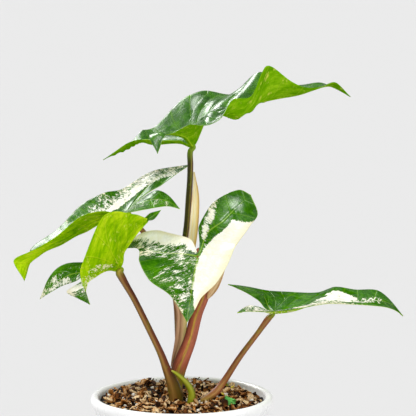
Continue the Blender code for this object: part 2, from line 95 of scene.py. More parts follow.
# Loose pieces on the mix: how many there are, and how far from the pot's middle they may be
LARGE_CHIPS, SMALL_CHIPS, GRAINS, FIBRES = 760, 330, 90, 150
CHIP_FIELD, CHIP_REACH, FIBRE_REACH = 54, 53.6, 53
CROWN_GAP = 5   # no loose piece is centred nearer than this to the crown's middle
NOISE_SEED, CHIP_SEED, FIBRE_SEED = 7, 11, 5

# The leaves. Every point is (across, along, x, y, z) in millimetres: where it lies on the flat
# leaf, measured from the point where the stalk meets it with the tip ahead, and where it is on
# the plant. The margin runs anticlockwise as seen from above; its lists start at a corner.
TOP_LEAF = {
    "notch_to_right_lobe": [
        (0, -4, 4.5, 0.5, 274.5), (7, -12, 0.5, -6, 279.5), (18, -29, -18, -22, 283.5),
        (33, -46, -19, -36, 280),
    ],
    "right_lobe_to_tip": [
        (44, -50, -15, -41, 273), (48, -41, -12.5, -40, 279.5), (42, -20, -6, -33, 285),
        (39, 2, 5.5, -32, 290.5), (40, 18, 17, -34, 290.5), (40, 29, 26, -32, 295.5),
        (38, 40, 33, -24, 306), (33, 53, 45.5, -20, 308.5), (30, 64, 54, -17, 326.5),
        (21, 80, 70, -14, 317.5), (15, 91, 82, -11, 312.5), (12, 98, 91, -9, 313),
        (7, 107, 100, -5, 315.5),
    ],
    "tip_to_left_lobe": [
        (0, 115, 110, -2, 306), (-6, 107, 100, 3, 311), (-12, 98, 90.5, 7, 314.5),
        (-16, 86, 76, 12, 312.5), (-30, 64, 50, 16, 320.5), (-36, 46, 34, 27, 305.5),
        (-41, 25, 14, 33, 307), (-43, 12, -1.5, 34, 300), (-43, -2, -17, 32, 284),
        (-42, -20, -26.5, 29, 281), (-49, -44, -40.5, 22, 269.5),
    ],
    "left_lobe_to_notch": [
        (-44, -50, -52, 14, 263), (-33, -48, -36.5, 9, 274), (-18, -29, -19, 6, 277),
        (-7, -12, -1, 0, 277),
    ],
    "inside": [
        (0, 0, 6.5, 2, 274.5), (0, 23, 16, -2, 292), (0, 48, 35.5, -3, 300.5),
        (0, 77, 67, -3, 306), (25, -21, -7, -26, 285.5), (38, -39, -14.5, -36, 284),
        (20, 23, 20.5, -18, 296), (18, 36, 30, -16, 293), (17, 45, 38, -15, 292.5),
        (15, 58, 48, -11, 299.5), (8, 85, 77, -8, 308), (-25, -21, -20, 16, 273.5),
        (-39, -41, -37.5, 17, 269),
    ],
}
BACK_LEAF = {
    "notch_to_right_lobe": [
        (0, -3, -34, 6.5, 231.5), (15, -23, -14.5, 22, 244.5),
    ],
    "right_lobe_to_tip": [
        (36, -40, 6.5, 36, 257.5), (34, -15, -21.5, 38, 252), (31, 2, -39, 30, 242),
        (32, 19, -51, 28, 239.5), (27, 40, -68, 24, 231), (15, 62, -86, 14, 214),
        (9, 74, -100, 5, 204),
    ],
    "tip_to_left_lobe": [
        (0, 86, -103.5, -4, 185), (-8, 80, -110, -8, 198.5), (-13, 72, -100.5, -13, 205),
        (-18, 60, -83.5, -19, 215), (-27, 40, -65.5, -24, 230), (-32, 19, -49.5, -22, 233.5),
        (-31, 2, -37, -24, 232.5), (-34, -15, -15.5, -22, 236),
    ],
    "left_lobe_to_notch": [
        (-36, -40, -1, -14, 234), (-15, -23, -16, -2, 244.5), (-6, -10, -28.5, 1, 237),
    ],
    "inside": [
        (0, 0, -36, 6, 229.5), (0, 17, -49, 3, 225.5), (0, 36, -63, 0, 218),
        (0, 58, -81, -3, 208.8), (0, 73, -94.5, -6, 201.5),
        (21, -16, -17.5, 28, 248.5), (-21, -16, -18.5, -10, 240),
    ],
}
FRONT_LEAF = {
    "notch_to_right_lobe": [
        (0, -2, -42, -29.5, 196), (3, -9, -49.5, -25.5, 197), (8, -21, -63, -26, 189),
        (15, -33, -74, -30, 182), (22, -38, -67, -38, 179.5),
    ],
    "right_lobe_to_tip": [
        (30, -41, -58.5, -43, 176), (30, -22, -63, -49, 190.5), (30, -9, -64, -49, 199.5),
        (29, 3, -60.5, -47, 209.5), (27, 15, -51, -44, 231.5), (23, 30, -39, -38, 235.5),
        (12, 48, -27.5, -32, 232.5), (7, 57, -18.5, -22, 228),
    ],
    "tip_to_left_lobe": [
        (0, 66, -13, -22, 234.5), (-7, 57, -20.5, -21, 232), (-12, 48, -25, -20, 227.5),
        (-23, 30, -36, -16, 219), (-27, 15, -48, -10, 207.5), (-26, 1, -58, -6, 198),
        (-36, -8, -75, -10, 197.5), (-40, -28, -87, -18, 188),
    ],
    "left_lobe_to_notch": [
        (-34, -49, -91.5, -28, 177), (-22, -32, -80, -24, 183.5), (-12, -20, -68.5, -20, 187.5),
        (-4, -8, -51, -22, 197.5),
    ],
    "inside": [
        (0, 0, -40.7, -31, 198), (0, 13, -38.7, -32, 204.5), (0, 28, -35, -33, 212.5),
        (0, 44, -25.5, -30, 224.5), (0, 57, -19, -26, 230.5), (16, -15, -56, -39, 194),
        (23, -26, -61, -45, 187.5), (-22, -17, -72.5, -16, 193),
    ],
}
CENTRE_LEAF = {
    "notch_to_right_lobe": [
        (0, -2, 10.5, -12, 204.5), (8, -14, 5.5, -6, 213), (24, -24, -14.5, -2, 218),
        (38, -30, -29, -8, 215.5),
    ],
    "right_lobe_to_tip": [
        (48, -29, -36.5, -18, 209), (42, -20, -32, -22, 209.5), (34, -11, -27.5, -27, 209),
        (32, 5, -27, -34, 202.5), (26, 24, -20, -43, 191.5), (14, 45, -6.5, -54, 183.5),
    ],
    "tip_to_left_lobe": [
        (0, 68, 4, -62, 168), (-12, 46, 12.5, -52, 181.5), (-22, 27, 22.5, -40, 189.5),
        (-29, 8, 30.5, -28, 201), (-33, -8, 35, -20, 210), (-41, -27, 44.5, -16, 223),
        (-48, -39, 49.5, -15, 231),
    ],
    "left_lobe_to_notch": [
        (-45, -53, 45, -12, 243), (-35, -53, 37.5, -6, 245.5), (-19, -42, 20.5, -2, 236.5),
        (-7, -20, 11, -5, 220),
    ],
    "inside": [
        (0, 0, 10.5, -14, 203), (0, 14, 9, -28, 197), (0, 29, 7.5, -42, 190), (0, 46, 6, -54, 181),
        (24, -15, -14, -16, 210), (-23, -29, 26.5, -14, 225.5),
    ],
}
RIGHT_LEAF = {
    "notch_to_right_lobe": [
        (0, -3, 57.4, -5.5, 165.4), (6, -11, 52.5, -12, 168.2), (18, -27, 43, -20, 171),
    ],
    "right_lobe_to_tip": [
        (34, -37, 36, -38, 170), (32, -15, 45, -40, 171), (32, 2, 57, -33, 169.5),
        (33, 20, 72, -36, 171.5), (28, 41, 91.5, -33, 174.5), (15, 65, 113.5, -26, 173),
        (11, 75, 132, -18, 170),
    ],
    "tip_to_left_lobe": [
        (0, 90, 145, -12, 163), (-11, 75, 129.5, 5, 177), (-15, 65, 116.5, 11, 176.5),
        (-24, 47, 101, 16, 177.5), (-29, 34, 90.5, 18, 173.5), (-33, 20, 72, 20, 173.5),
        (-32, 2, 54.5, 22, 174.5), (-32, -15, 42.5, 27, 176),
    ],
    "left_lobe_to_notch": [
        (-34, -37, 30.5, 24, 178), (-14, -22, 47.5, 7, 172), (-5, -9, 54.2, 0, 166.6),
    ],
    "inside": [
        (0, 0, 59.8, -6, 165.2), (0, 18, 75, -8, 167), (0, 38, 96, -8, 174),
        (0, 60, 117.5, -10, 172), (-19, -15, 52.5, 14, 173.5), (19, -15, 47, -29, 171.5),
    ],
}

# Variegation, painted in order on the flat leaf: (cream share, across, along, half length,
# half width, turn in degrees, softness). The turn is from the across direction, anticlockwise.
BACK_PAINT = [
    (0.42, 22, 18, 34, 12, 100, 0.4), (0.56, 30, -16, 26, 9, 100, 0.4),
    (0.1, 31, 12, 8, 6, 20, 0.5), (0.9, 16, 4, 22, 3.6, 112, 0.4), (0.7, 24, -18, 18, 3, 110, 0.4),
    (0.3, 34, -30, 16, 7, 100, 0.4), (0.1, 24, 46, 22, 12, 118, 0.4),
    (0.3, -26, -14, 14, 4, 60, 0.5),
]
FRONT_PAINT = [
    (0.5, 16, -30, 16, 12, 60, 0.4), (0.44, -29, -34, 24, 10, 60, 0.4),
    (0.12, -25, -14, 8, 7, 0, 0.4), (0.7, -21, -26, 6, 3, 50, 0.4), (0.95, 13, -30, 8, 5, 40, 0.4),
    (0.6, 15, -5, 8, 3.2, 150, 0.5),
]
CENTRE_PAINT = [
    (0.36, 7, 32, 38, 7, 88, 0.5), (0.3, 14, 18, 18, 9, 70, 0.5),
    (0.44, 22, -8, 28, 8, 155, 0.4), (0.98, 25, -26, 27, 8, 150, 0.3),
    (1.2, -42, 20, 75, 41.5, 90, 0.04), (0.0, -13.6, -24.8, 31, 9.8, 53, 0.1),
    (0.0, -37, -43, 13.5, 13.5, 0, 0.1), (0.72, -14.5, -26, 19, 2.4, 70, 0.6),
    (0.97, 6, -11, 9, 4.5, 120, 0.3),
]
RIGHT_PAINT = [
    (0.45, 6, 14, 26, 5, 90, 0.4), (1.05, 2, 45, 15, 12, 84, 0.25), (0.55, 22, 44, 50, 9, 90, 0.4),
    (0.55, 20, -18, 20, 12, 60, 0.4), (0.9, -9, 45, 9, 7, 60, 0.3), (0.5, 2, 64, 12, 5, 90, 0.4),
]

# Each leaf: table, cream paint, height of the quilting, bow of its two lobes' ribs, gloss of
# its upper side, and factors on the red and green of its underside: painted light and shade
LEAVES = {
    "top": (TOP_LEAF, [], 1.7, (0.1, 0.1), (0.3, 1.0), (0.6, 0.8)),
    "back": (BACK_LEAF, BACK_PAINT, 0.8, (0.1, 0.1), (0.05, 0.7), (1.3, 1.35)),
    "front": (FRONT_LEAF, FRONT_PAINT, 0.7, (0.1, 0.1), (0.05, 0.5), (1.0, 1.0)),
    "centre": (CENTRE_LEAF, CENTRE_PAINT, 0.8, (0.1, -0.02), (0.05, 0.7), (1.1, 1.1)),
    "right": (RIGHT_LEAF, RIGHT_PAINT, 0.7, (0.1, 0.1), (0.0, 0.25), (1.1, 1.1)),
}

# Stalks, from the leaf down: (x, y, z, radius) in millimetres
STALKS = {
    "top": [(5.8, 0.5, 270.2, 1.8), (5.7, 1.2, 260.9, 1.9), (5.4, 2, 250.9, 1.9),
            (4.6, 3.5, 238.8, 2), (3.4, 5, 222.3, 2), (2, 5.8, 210.6, 2), (-0.3, 7, 176.9, 2),
            (-2.3, 7.6, 149.9, 2), (-3.8, 8, 128.2, 2), (-5.1, 8.8, 107.7, 2),
            (-5.3, 8.9, 100.2, 2)],
    "back": [(-32, 8.5, 222.2, 1.7), (-27.1, 10, 217.3, 1.7), (-17.3, 12.5, 202.9, 1.8),
             (-8, 14, 183.8, 1.9), (-4.4, 14, 170.3, 2), (-2.8, 13.5, 142, 2),
             (-1.8, 11.5, 115.3, 2), (-1.4, 10.5, 100.5, 2)],
    "front": [(-39.6, -33.3, 195.2, 2.5), (-38.2, -31.8, 191.8, 2.5), (-35.8, -27.8, 186.4, 2.2),
              (-31, -22.9, 176.8, 2), (-22, -18, 157.2, 2.1), (-13.3, -13.2, 137.2, 2.4),
              (-10, -10.4, 127.3, 2.9), (-6.8, -7.8, 118.7, 3.8), (-4.3, -5.4, 109.4, 4.6),
              (-3.8, -4.2, 102.6, 4.5)],
    "centre": [(11.6, -6, 205.1, 2.3), (13.6, -1, 199, 2.6), (15.9, 4, 187.5, 3),
               (15.6, 5.4, 178.6, 3.5), (13.6, 5.2, 171.6, 3.9), (10, 4, 162.6, 4),
               (5, 0.8, 144, 4.3), (0.5, 0.8, 132.4, 4.7), (-2.3, 1.8, 124.8, 4.9),
               (-3.4, 3, 117.1, 4.2), (-3.8, 3.6, 109.5, 2.9), (-3.9, 3.8, 100.6, 2.9)],
    "right": [(57.4, -5.3, 160.6, 2), (50.3, -4, 150.5, 1.7), (38, -1, 133.1, 1.9),
              (27.2, 0.8, 115.9, 2.3), (22.2, -1.5, 109.9, 2.6), (16.2, -4, 106.2, 2.4),
              (11.9, -4.4, 104.4, 2.1), (8.3, -3.6, 102.6, 2), (3.3, -1, 99, 2)],
}
STALK_DEPTHS = {"front": 0.85, "centre": 0.6}   # share of the width, where it isn't round

# Colours on a screen, 0 to 255, of each stalk: across it from left to right, below the leaf, and
# at its foot. Across, its own tones and stripes carry painted shade at the edges and painted
# highlights along the middle
STALK_SKINS = {
    "top": ([(0.0, (44, 42, 2)), (0.3, (58, 54, 4)), (0.52, (66, 58, 8)), (0.62, (160, 145, 60)),
             (0.72, (112, 84, 62)), (1.0, (92, 62, 45))], (132, 170, 10), (90, 60, 20)),
    "back": ([(0.0, (110, 70, 35)), (0.5, (165, 120, 70)), (1.0, (120, 80, 50))],
             (130, 135, 50), (120, 90, 50)),
    "front": ([(0.0, (66, 38, 12)), (0.22, (135, 98, 42)), (0.45, (178, 132, 72)),
               (0.6, (122, 66, 32)), (0.8, (104, 42, 24)), (1.0, (66, 30, 16))],
              (140, 172, 14), (104, 84, 22)),
    "centre": ([(0.0, (64, 34, 14)), (0.2, (128, 58, 42)), (0.42, (184, 98, 68)),
                (0.5, (206, 170, 66)), (0.58, (196, 114, 84)), (0.8, (184, 98, 72)),
                (1.0, (136, 64, 46))], (124, 78, 34), (132, 130, 30)),
    "right": ([(0.0, (104, 52, 36)), (0.25, (150, 88, 48)), (0.5, (188, 138, 78)),
               (0.72, (166, 96, 56)), (1.0, (112, 50, 36))], (132, 160, 20), (134, 136, 24)),
}
# The root's colours across: darker at its edges and lighter in its middle, painted shade and a
# painted highlight on its olive green
ROOT_SKIN = ([(0.0, (96, 104, 8)), (0.3, (150, 156, 28)), (0.6, (170, 176, 48)),
              (1.0, (96, 100, 10))], (178, 172, 70), (120, 124, 10))

# Sheaths: points from the tip down, each (x, y, z, half width), curl of the edges, and the
# material with its colours across the sheath
SHEATHS = {
    "sheath_top": (
        [(8, -0.6, 256.5, 0.5), (8.5, -0.9, 251.3, 1), (9, -1, 245.5, 1.8), (9, -0.6, 238, 2.5),
         (8.5, 0.4, 228, 2.8), (7.5, 1.6, 216.5, 2.9), (6, 2.6, 204.4, 2.6),
         (3.7, 3.2, 187.6, 1.6)], 0.2, "sheath_cream",
        [(0.0, (190, 136, 50)), (0.2, (248, 214, 130)), (0.5, (255, 244, 200)),
         (0.7, (255, 230, 160)), (0.85, (255, 250, 220)), (1.0, (226, 176, 92))]),
    "sheath_left": (
        [(-5.2, 2.6, 177.7, 1.6), (-2.9, 3, 171.6, 2.9), (-0.5, 3.5, 163.5, 3.4),
         (-0.3, 3.9, 154, 3.5), (-2, 4.2, 141.1, 3.2), (-4.7, 4.4, 131.7, 2.2),
         (-6.8, 4.6, 125.5, 0.9)], 0.3, "sheath_tan",
        [(0.0, (178, 168, 50)), (0.15, (226, 200, 130)), (0.45, (214, 170, 124)),
         (0.6, (150, 104, 60)), (0.75, (214, 168, 128)), (1.0, (160, 112, 76))]),
    "sheath_centre": (
        [(27.9, 2.1, 191.6, 0.5), (25, 2.6, 185.8, 1.7), (21.7, 3, 180.1, 2.5),
         (18.8, 3, 175.4, 2), (16.9, 2.8, 171.8, 0.6)], 0.3, "sheath_light",
        [(0.0, (190, 130, 70)), (0.3, (240, 205, 160)), (0.6, (226, 184, 134)),
         (1.0, (186, 128, 72))]),
}

# Roots, from the top down: (x, y, z, radius)
AERIAL_ROOT = [(-6.8, -12.6, 126.7, 0.5), (-4.3, -12.9, 125.3, 1.1), (-0.6, -12.2, 122.1, 1.6),
               (4.1, -11, 116.8, 2), (6.5, -10.2, 111.2, 2.3), (6.2, -9.8, 105.7, 2.6),
               (6, -9.6, 101.6, 2.7)]
SPROUT = [(30.5, 32, 103.4, 0.8), (30.3, 32, 106.6, 0.9), (29.9, 31.8, 108.6, 0.3)]

# The CAD's loose pieces on the mix: (x, y, length, width, height, turn in degrees)
BARK = [
    (-37, 30, 11, 6, 3.6, 25), (-22, 39, 10, 6, 3.6, -20), (-4, 44, 10, 6, 3.4, 60),
    (16, 42, 9, 6, 3.2, 10), (38, 27, 11, 6, 3.4, -40), (45, 12, 9, 6, 3.2, 75),
    (-45, 8, 10, 6, 3.2, 80), (-27, 16, 10, 6, 3.4, 35), (-41, -13, 9, 6, 3.2, -60),
    (-22, -14, 10, 6, 3.2, 15), (-28, -34, 10, 6, 3.4, 40), (-8, -28, 9, 6, 3.2, -30),
    (9, -38, 10, 6, 3.2, 5), (23, -28, 9, 6, 3.2, -50), (42, -17, 10, 6, 3.2, 60),
    (20, 24, 9, 6, 3.2, 35),
]
PERLITE = [
    (-8, 27, 6, 5, 4, 0), (29, 15, 6, 5, 4, 30), (-33, -2, 5, 5, 4, 10), (-16, -43, 6, 5, 4, 50),
    (27, -37, 6, 5, 4, 20), (9, -20, 5, 4, 4, 70), (-20, 25, 5, 4, 4, 40), (46, -4, 5, 4, 3.5, 0),
]

# Small loose bits: (x, y, length, turn), and the place of the green one
YELLOW_BITS = [(33.5, 27.5, 2.8, 0.5), (27, 8, 2.8, 2.4), (29.5, 32.5, 2.6, 1.2)]
GREEN_BIT_PLACE = (31.2, -17.5, 107.2894)


# General helpers
NOISE_CELLS = 32
NOISE_GRID = np.random.default_rng(NOISE_SEED).uniform(-1, 1, [NOISE_CELLS] * 3)


def smoothstep(low, high, value):
    share = np.clip((value - low) / (high - low), 0, 1)
    return share * share * (3 - 2 * share)


def value_noise(points, size):
    """Smooth noise from -1 to 1 at points in millimetres; size is the width of its features."""
    where = np.asarray(points, float) / size + 1000
    low = np.floor(where).astype(int)
    part = where - low
    part = part * part * (3 - 2 * part)
    total = 0
    for corner in range(8):
        step = np.array([corner & 1, corner >> 1 & 1, corner >> 2 & 1])
        share = np.prod(np.where(step, part, 1 - part), axis=1)
        a, b, c = ((low + step) % NOISE_CELLS).T
        total = total + share * NOISE_GRID[a, b, c]
    return total


def smooth_route(knots, per_span):
    """A Catmull-Rom curve through rows of numbers, spaced by the square root of their distance."""
    rows = [np.array(k, float) for k in knots]
    rows = [2 * rows[0] - rows[1]] + rows + [2 * rows[-1] - rows[-2]]
    out = []
    for before, start, end, after in zip(rows, rows[1:], rows[2:], rows[3:]):
        t1 = np.linalg.norm(start - before) ** 0.5
        t2 = t1 + np.linalg.norm(end - start) ** 0.5
        t3 = t2 + np.linalg.norm(after - end) ** 0.5
        for k in range(per_span):
            t = t1 + (t2 - t1) * k / per_span
            a = (t1 - t) / t1 * before + t / t1 * start
            b = (t2 - t) / (t2 - t1) * start + (t - t1) / (t2 - t1) * end
            c = (t3 - t) / (t3 - t2) * end + (t - t2) / (t3 - t2) * after
            ab = (t2 - t) / t2 * a + t / t2 * b
            bc = (t3 - t) / (t3 - t1) * b + (t - t1) / (t3 - t1) * c
            out.append((t2 - t) / (t2 - t1) * ab + (t - t1) / (t2 - t1) * bc)
    out.append(rows[-2])
    return np.array(out)


def walked_along(route):
    """The distance from the start of a route to each of its points."""
    return np.concatenate([[0], np.cumsum(np.linalg.norm(np.diff(route, axis=0), axis=1))])


def full_turn(sides):
    return np.linspace(0, 2 * math.pi, sides, endpoint=False)


def ring_points(radius, height, sides):
    turn = full_turn(sides)
    return np.stack([radius * np.cos(turn), radius * np.sin(turn), height + np.zeros(sides)], 1)


def band(first, second, sides):
    """Faces between two closed rings, each given by the number of its first point."""
    ring = np.arange(sides)
    after = (ring + 1) % sides
    return np.stack([first + ring, first + after, second + after, second + ring], 1).tolist()


def outward_band(inner, outer, sides):
    """Faces between two rings of a sheet, from the inner one out."""
    return [[d, a, b, c] for a, b, c, d in band(outer, inner, sides)]


def fan(first, middle, sides):
    """Faces between a closed ring and one point."""
    return [[first + k, first + (k + 1) % sides, middle] for k in range(sides)]


def turned_faces(rings, sides):
    """Faces of a body of rings between one point at its bottom and one at its top."""
    faces = [face[::-1] for face in fan(1, 0, sides)]
    for r in range(rings - 1):
        faces += band(1 + r * sides, 1 + (r + 1) * sides, sides)
    return faces + fan(1 + (rings - 1) * sides, 1 + rings * sides, sides)


def sheet_faces(rings, sides):
    """Faces of a sheet of rings round a middle point: its upper side, its underside, its edge.

    The points of the underside follow all those of the upper side.
    """
    size, rim = 1 + rings * sides, 1 + (rings - 1) * sides
    upper = fan(1, 0, sides)
    for r in range(rings - 1):
        upper += outward_band(1 + r * sides, 1 + (r + 1) * sides, sides)
    under = [[size + v for v in reversed(face)] for face in upper]
    return upper, under, outward_band(rim, size + rim, sides)


def sweep_faces(rings, sides):
    """Faces of a tube of rings, closed at both ends."""
    faces = []
    for r in range(rings - 1):
        faces += band(r * sides, (r + 1) * sides, sides)
    faces.append(list(range(sides))[::-1])
    faces.append(list(range((rings - 1) * sides, rings * sides)))
    return faces


def piece(name, points_mm, faces, materials, replaced=(), attributes=None,
          face_materials=None, smooth=True):
    """One object from points in millimetres, riding on the plant's one body."""
    mesh = bpy.data.meshes.new(name)
    points = np.asarray(points_mm, float) * MM
    mesh.from_pydata(points.tolist(), [], faces)
    for entry in materials:
        mesh.materials.append(entry)
    if face_materials is not None:
        mesh.polygons.foreach_set("material_index", np.asarray(face_materials, np.int32))
    mesh.polygons.foreach_set("use_smooth", np.full(len(mesh.polygons), smooth))
    for key, values in (attributes or {}).items():
        values = np.asarray(values, np.float32)
        kind, field = ('FLOAT_VECTOR', "vector") if values.ndim == 2 else ('FLOAT', "value")
        mesh.attributes.new(key, kind, 'POINT').data.foreach_set(field, values.ravel())
    mesh.update()
    made = bpy.data.objects.new(name, mesh)
    bpy.context.scene.collection.objects.link(made)
    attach(made, "root")
    if replaced:
        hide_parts(*replaced)
    return made


# Materials
def tone(*parts):
    """A colour written as it looks on a screen, 0 to 255, as linear light."""
    parts = [part / 255 for part in parts]
    return tuple(p / 12.92 if p < 0.04 else ((p + 0.055) / 1.055) ** 2.4 for p in parts)


class Shading:
    """Short names for the nodes of one material; a value is a number, a colour or a socket."""

    def __init__(self, name, roughness):
        self.material = bpy.data.materials.new(name)
        self.material.use_nodes = True
        self.tree = self.material.node_tree
        self.shader = self.tree.nodes["Principled BSDF"]
        self.set("Roughness", roughness)

    def plug(self, socket, value):
        if isinstance(value, bpy.types.NodeSocket):
            self.tree.links.new(value, socket)
        elif isinstance(value, tuple) and socket.type == 'RGBA':
            socket.default_value = (*value, 1)
        else:
            socket.default_value = value

    def set(self, socket, value):
        self.plug(self.shader.inputs[socket], value)

    def use(self, kind, output, inputs, **settings):
        """A new node with these inputs, and one of its outputs, or all of them for None."""
        node = self.tree.nodes.new("ShaderNode" + kind)
        for key, value in settings.items():
            setattr(node, key, value)
        for key, value in inputs.items():
            self.plug(node.inputs[key], value)
        return node.outputs if output is None else node.outputs[output]

    def attribute(self, name, output="Fac"):
        return self.use("Attribute", output, {}, attribute_name=name, attribute_type='GEOMETRY')

    def place(self):
        return self.use("TexCoord", "Object", {})

    def split(self, vector):
        return self.use("SeparateXYZ", None, {0: vector})

    def join(self, *values):
        return self.use("CombineXYZ", 0, dict(enumerate(values)))

    def math(self, operation, *values):
        return self.use("Math", 0, dict(enumerate(values)), operation=operation)

    def times(self, a, b, plus=0.0):
        return self.math('MULTIPLY_ADD', a, b, plus)

    def noise(self, vector, scale, detail=2.0, roughness=0.5, distortion=0.0):
        return self.use("TexNoise", "Fac", {
            "Vector": vector, "Scale": scale, "Detail": detail, "Roughness": roughness,
            "Distortion": distortion})

    def cells(self, vector, scale):
        return self.use("TexVoronoi", "Distance", {"Vector": vector, "Scale": scale},
                        feature='DISTANCE_TO_EDGE')

    def stretch(self, vector, scale):
        return self.use("Mapping", 0, {"Vector": vector, "Scale": scale})

    def ramp(self, value, low, high, start=0.0, end=1.0):
        return self.use("MapRange", 0, {"Value": value, "From Min": low, "From Max": high,
                                        "To Min": start, "To Max": end},
                        interpolation_type='SMOOTHSTEP')

    def mix(self, share, a, b):
        return self.use("Mix", 2, {0: share, 6: a, 7: b}, data_type='RGBA')

    def colours(self, share, stops):
        node = self.tree.nodes.new("ShaderNodeValToRGB")
        self.plug(node.inputs[0], share)
        elements = node.color_ramp.elements
        while len(elements) < len(stops):
            elements.new(0.5)
        for element, (where, colour) in zip(elements, stops):
            element.position = where
            element.color = (*colour, 1)
        return node.outputs[0]

    def screen_colours(self, share, stops):
        return self.colours(share, [(where, tone(*colour)) for where, colour in stops])

    def bump(self, height, distance_mm, strength):
        self.set("Normal", self.use("Bump", 0, {
            "Strength": strength, "Distance": distance_mm * MM, "Height": height}))


def vein_mask(s):
    """1 on the side veins: each lies where its phase is a whole number."""
    main, base, origin = s.split(s.attribute("veins", "Vector"))
    masks = [s.ramp(s.math('PINGPONG', phase, 0.5), 0.018, 0.055, 1.0, 0.0)
             for phase in (main, base)]
    in_lobe = s.ramp(origin, -0.02, 0.02, 1.0, 0.0)
    veins = s.use("Mix", 0, {0: in_lobe, 2: masks[0], 3: masks[1]}, data_type='FLOAT')
    first = s.ramp(s.math('ABSOLUTE', origin), 0.03, 0.07, 1.0, 0.0)
    return s.math('MAXIMUM', veins, first)


def rib_mask(s):
    return s.ramp(s.attribute("rib"), 0.5, 1.0, 1.0, 0.0)


def net_mask(s, flat):
    """1 on the fine net between the veins."""
    coarse, fine = s.cells(flat, 2.1), s.cells(flat, 5.2)
    return s.math('MAXIMUM', s.ramp(coarse, 0.0, 0.09, 1.0, 0.0),
                  s.ramp(fine, 0.0, 0.08, 0.45, 0.0))


def leaf_top_material(name, gloss):
    """The upper side: green with cream patches, which break up into streaks and specks."""
    s = Shading(name, 0.26)
    flat = s.attribute("flat", "Vector")
    across, _, seed = s.split(flat)
    origin = s.split(s.attribute("veins", "Vector"))[2]
    broad = s.noise(flat, 0.5, 2.0)
    mottle = s.noise(flat, 2.6, 3.0, 0.6)
    fine = s.noise(flat, 9.0, 2.0, 0.6)
    veins, ribs, net = vein_mask(s), rib_mask(s), net_mask(s, flat)
    green = s.colours(s.times(broad, 0.5, s.times(mottle, 0.5)),
                      [(0.3, (0.008, 0.062, 0.0005)), (0.5, (0.026, 0.135, 0.001)),
                       (0.7, (0.09, 0.29, 0.002))])
    green = s.mix(s.times(net, 0.14), green, (0.13, 0.36, 0.004))
    green = s.mix(s.times(veins, 0.3), green, (0.18, 0.42, 0.01))

    patch = s.noise(flat, 1.5, 3.0, 0.62, 0.25)
    streaks = s.join(s.times(across, 1.6), s.times(origin, 3.2), seed)
    streaks = s.noise(streaks, 2.2, 4.0, 0.7)
    speck = s.noise(flat, 15.0, 3.0, 0.7)
    threshold = s.times(patch, 0.3, s.times(streaks, 0.42, s.times(speck, 0.28)))
    threshold = s.ramp(threshold, 0.37, 0.63, 0.03, 0.97)
    above = s.math('SUBTRACT', s.attribute("cream"), threshold)
    cream_here = s.ramp(above, -0.02, 0.03)
    cream = s.mix(s.ramp(mottle, 0.35, 0.65), (0.97, 0.94, 0.78), (1.0, 0.985, 0.9))
    edge = s.attribute("edge")
    cream = s.mix(s.ramp(edge, 0.72, 1.0, 0.0, 0.6), cream, (0.90, 0.77, 0.46))
    green = s.mix(s.ramp(above, -0.12, -0.01, 0.0, 0.3), green, (0.26, 0.46, 0.08))
    colour = s.mix(cream_here, green, cream)
    colour = s.mix(s.times(s.times(veins, cream_here), 0.16), colour, (0.80, 0.76, 0.42))
    pale_rib = s.mix(cream_here, (0.38, 0.60, 0.06), (0.78, 0.78, 0.40))
    colour = s.mix(s.times(ribs, 0.5), colour, pale_rib)
    colour = s.mix(s.times(s.ramp(edge, 0.985, 1.0), 0.5), colour, (0.34, 0.5, 0.04))
    s.set("Base Color", colour)
    s.set("Roughness", s.ramp(fine, 0.3, 0.7, 0.22, 0.3))
    s.set("Specular IOR Level", s.ramp(s.noise(flat, 1.2, 2.0, 0.5, 0.5), 0.38, 0.56, *gloss))
    relief = s.times(s.math('MAXIMUM', veins, s.times(net, 0.15)), -0.6, s.times(broad, 0.4))
    s.bump(s.times(relief, s.times(cream_here, -0.75, 1.0)), 0.4, 0.7)
    return s.material


def leaf_under_material(name, light):
    """The underside: lime, pale where the leaf is cream right through."""
    s = Shading(name, 0.6)
    flat = s.attribute("flat", "Vector")
    across, along, seed = s.split(flat)
    broad = s.noise(flat, 0.6, 2.0)
    mottle = s.noise(flat, 3.0, 3.0, 0.6)
    streak = s.noise(s.join(s.times(across, 3.6), s.times(along, 0.8), seed), 1.3, 4.0, 0.65)
    veins, ribs, net = vein_mask(s), rib_mask(s), net_mask(s, flat)

    # Painted light and shade: each leaf's copy of the underside is made lighter or darker by its
    # factors
    def with_painted_light(red, green, blue):
        return red * light[0], green * light[1], blue

    colour = s.colours(s.times(broad, 0.4, s.times(streak, 0.6)),
                       [(0.36, with_painted_light(0.13, 0.33, 0.0005)), (0.5, with_painted_light(0.27, 0.50, 0.001)),
                        (0.64, with_painted_light(0.50, 0.68, 0.01))])
    colour = s.mix(s.times(net, 0.16), colour, with_painted_light(0.16, 0.38, 0.001))
    colour = s.mix(s.times(veins, 0.3), colour, with_painted_light(0.55, 0.70, 0.02))
    fleck = s.ramp(s.noise(flat, 2.2, 5.0, 0.7), 0.56, 0.7)
    colour = s.mix(s.times(fleck, 0.7), colour, (0.80, 0.74, 0.12))
    colour = s.mix(s.times(ribs, 0.5), colour, (0.55, 0.68, 0.03))
    speck = s.ramp(s.noise(flat, 6.0, 4.0, 0.7), 0.36, 0.64, 0.05, 0.95)
    pale = s.ramp(s.math('SUBTRACT', s.attribute("cream"), speck), -0.02, 0.05, 0.0, 0.85)
    s.set("Base Color", s.mix(pale, colour, (0.90, 0.86, 0.50)))
    s.set("Specular IOR Level", 0.0)
    relief = s.times(s.math('ADD', mottle, streak), 0.4)
    s.bump(s.times(s.math('MAXIMUM', veins, s.times(net, 0.5)), 0.6, relief), 0.6, 0.8)
    return s.material


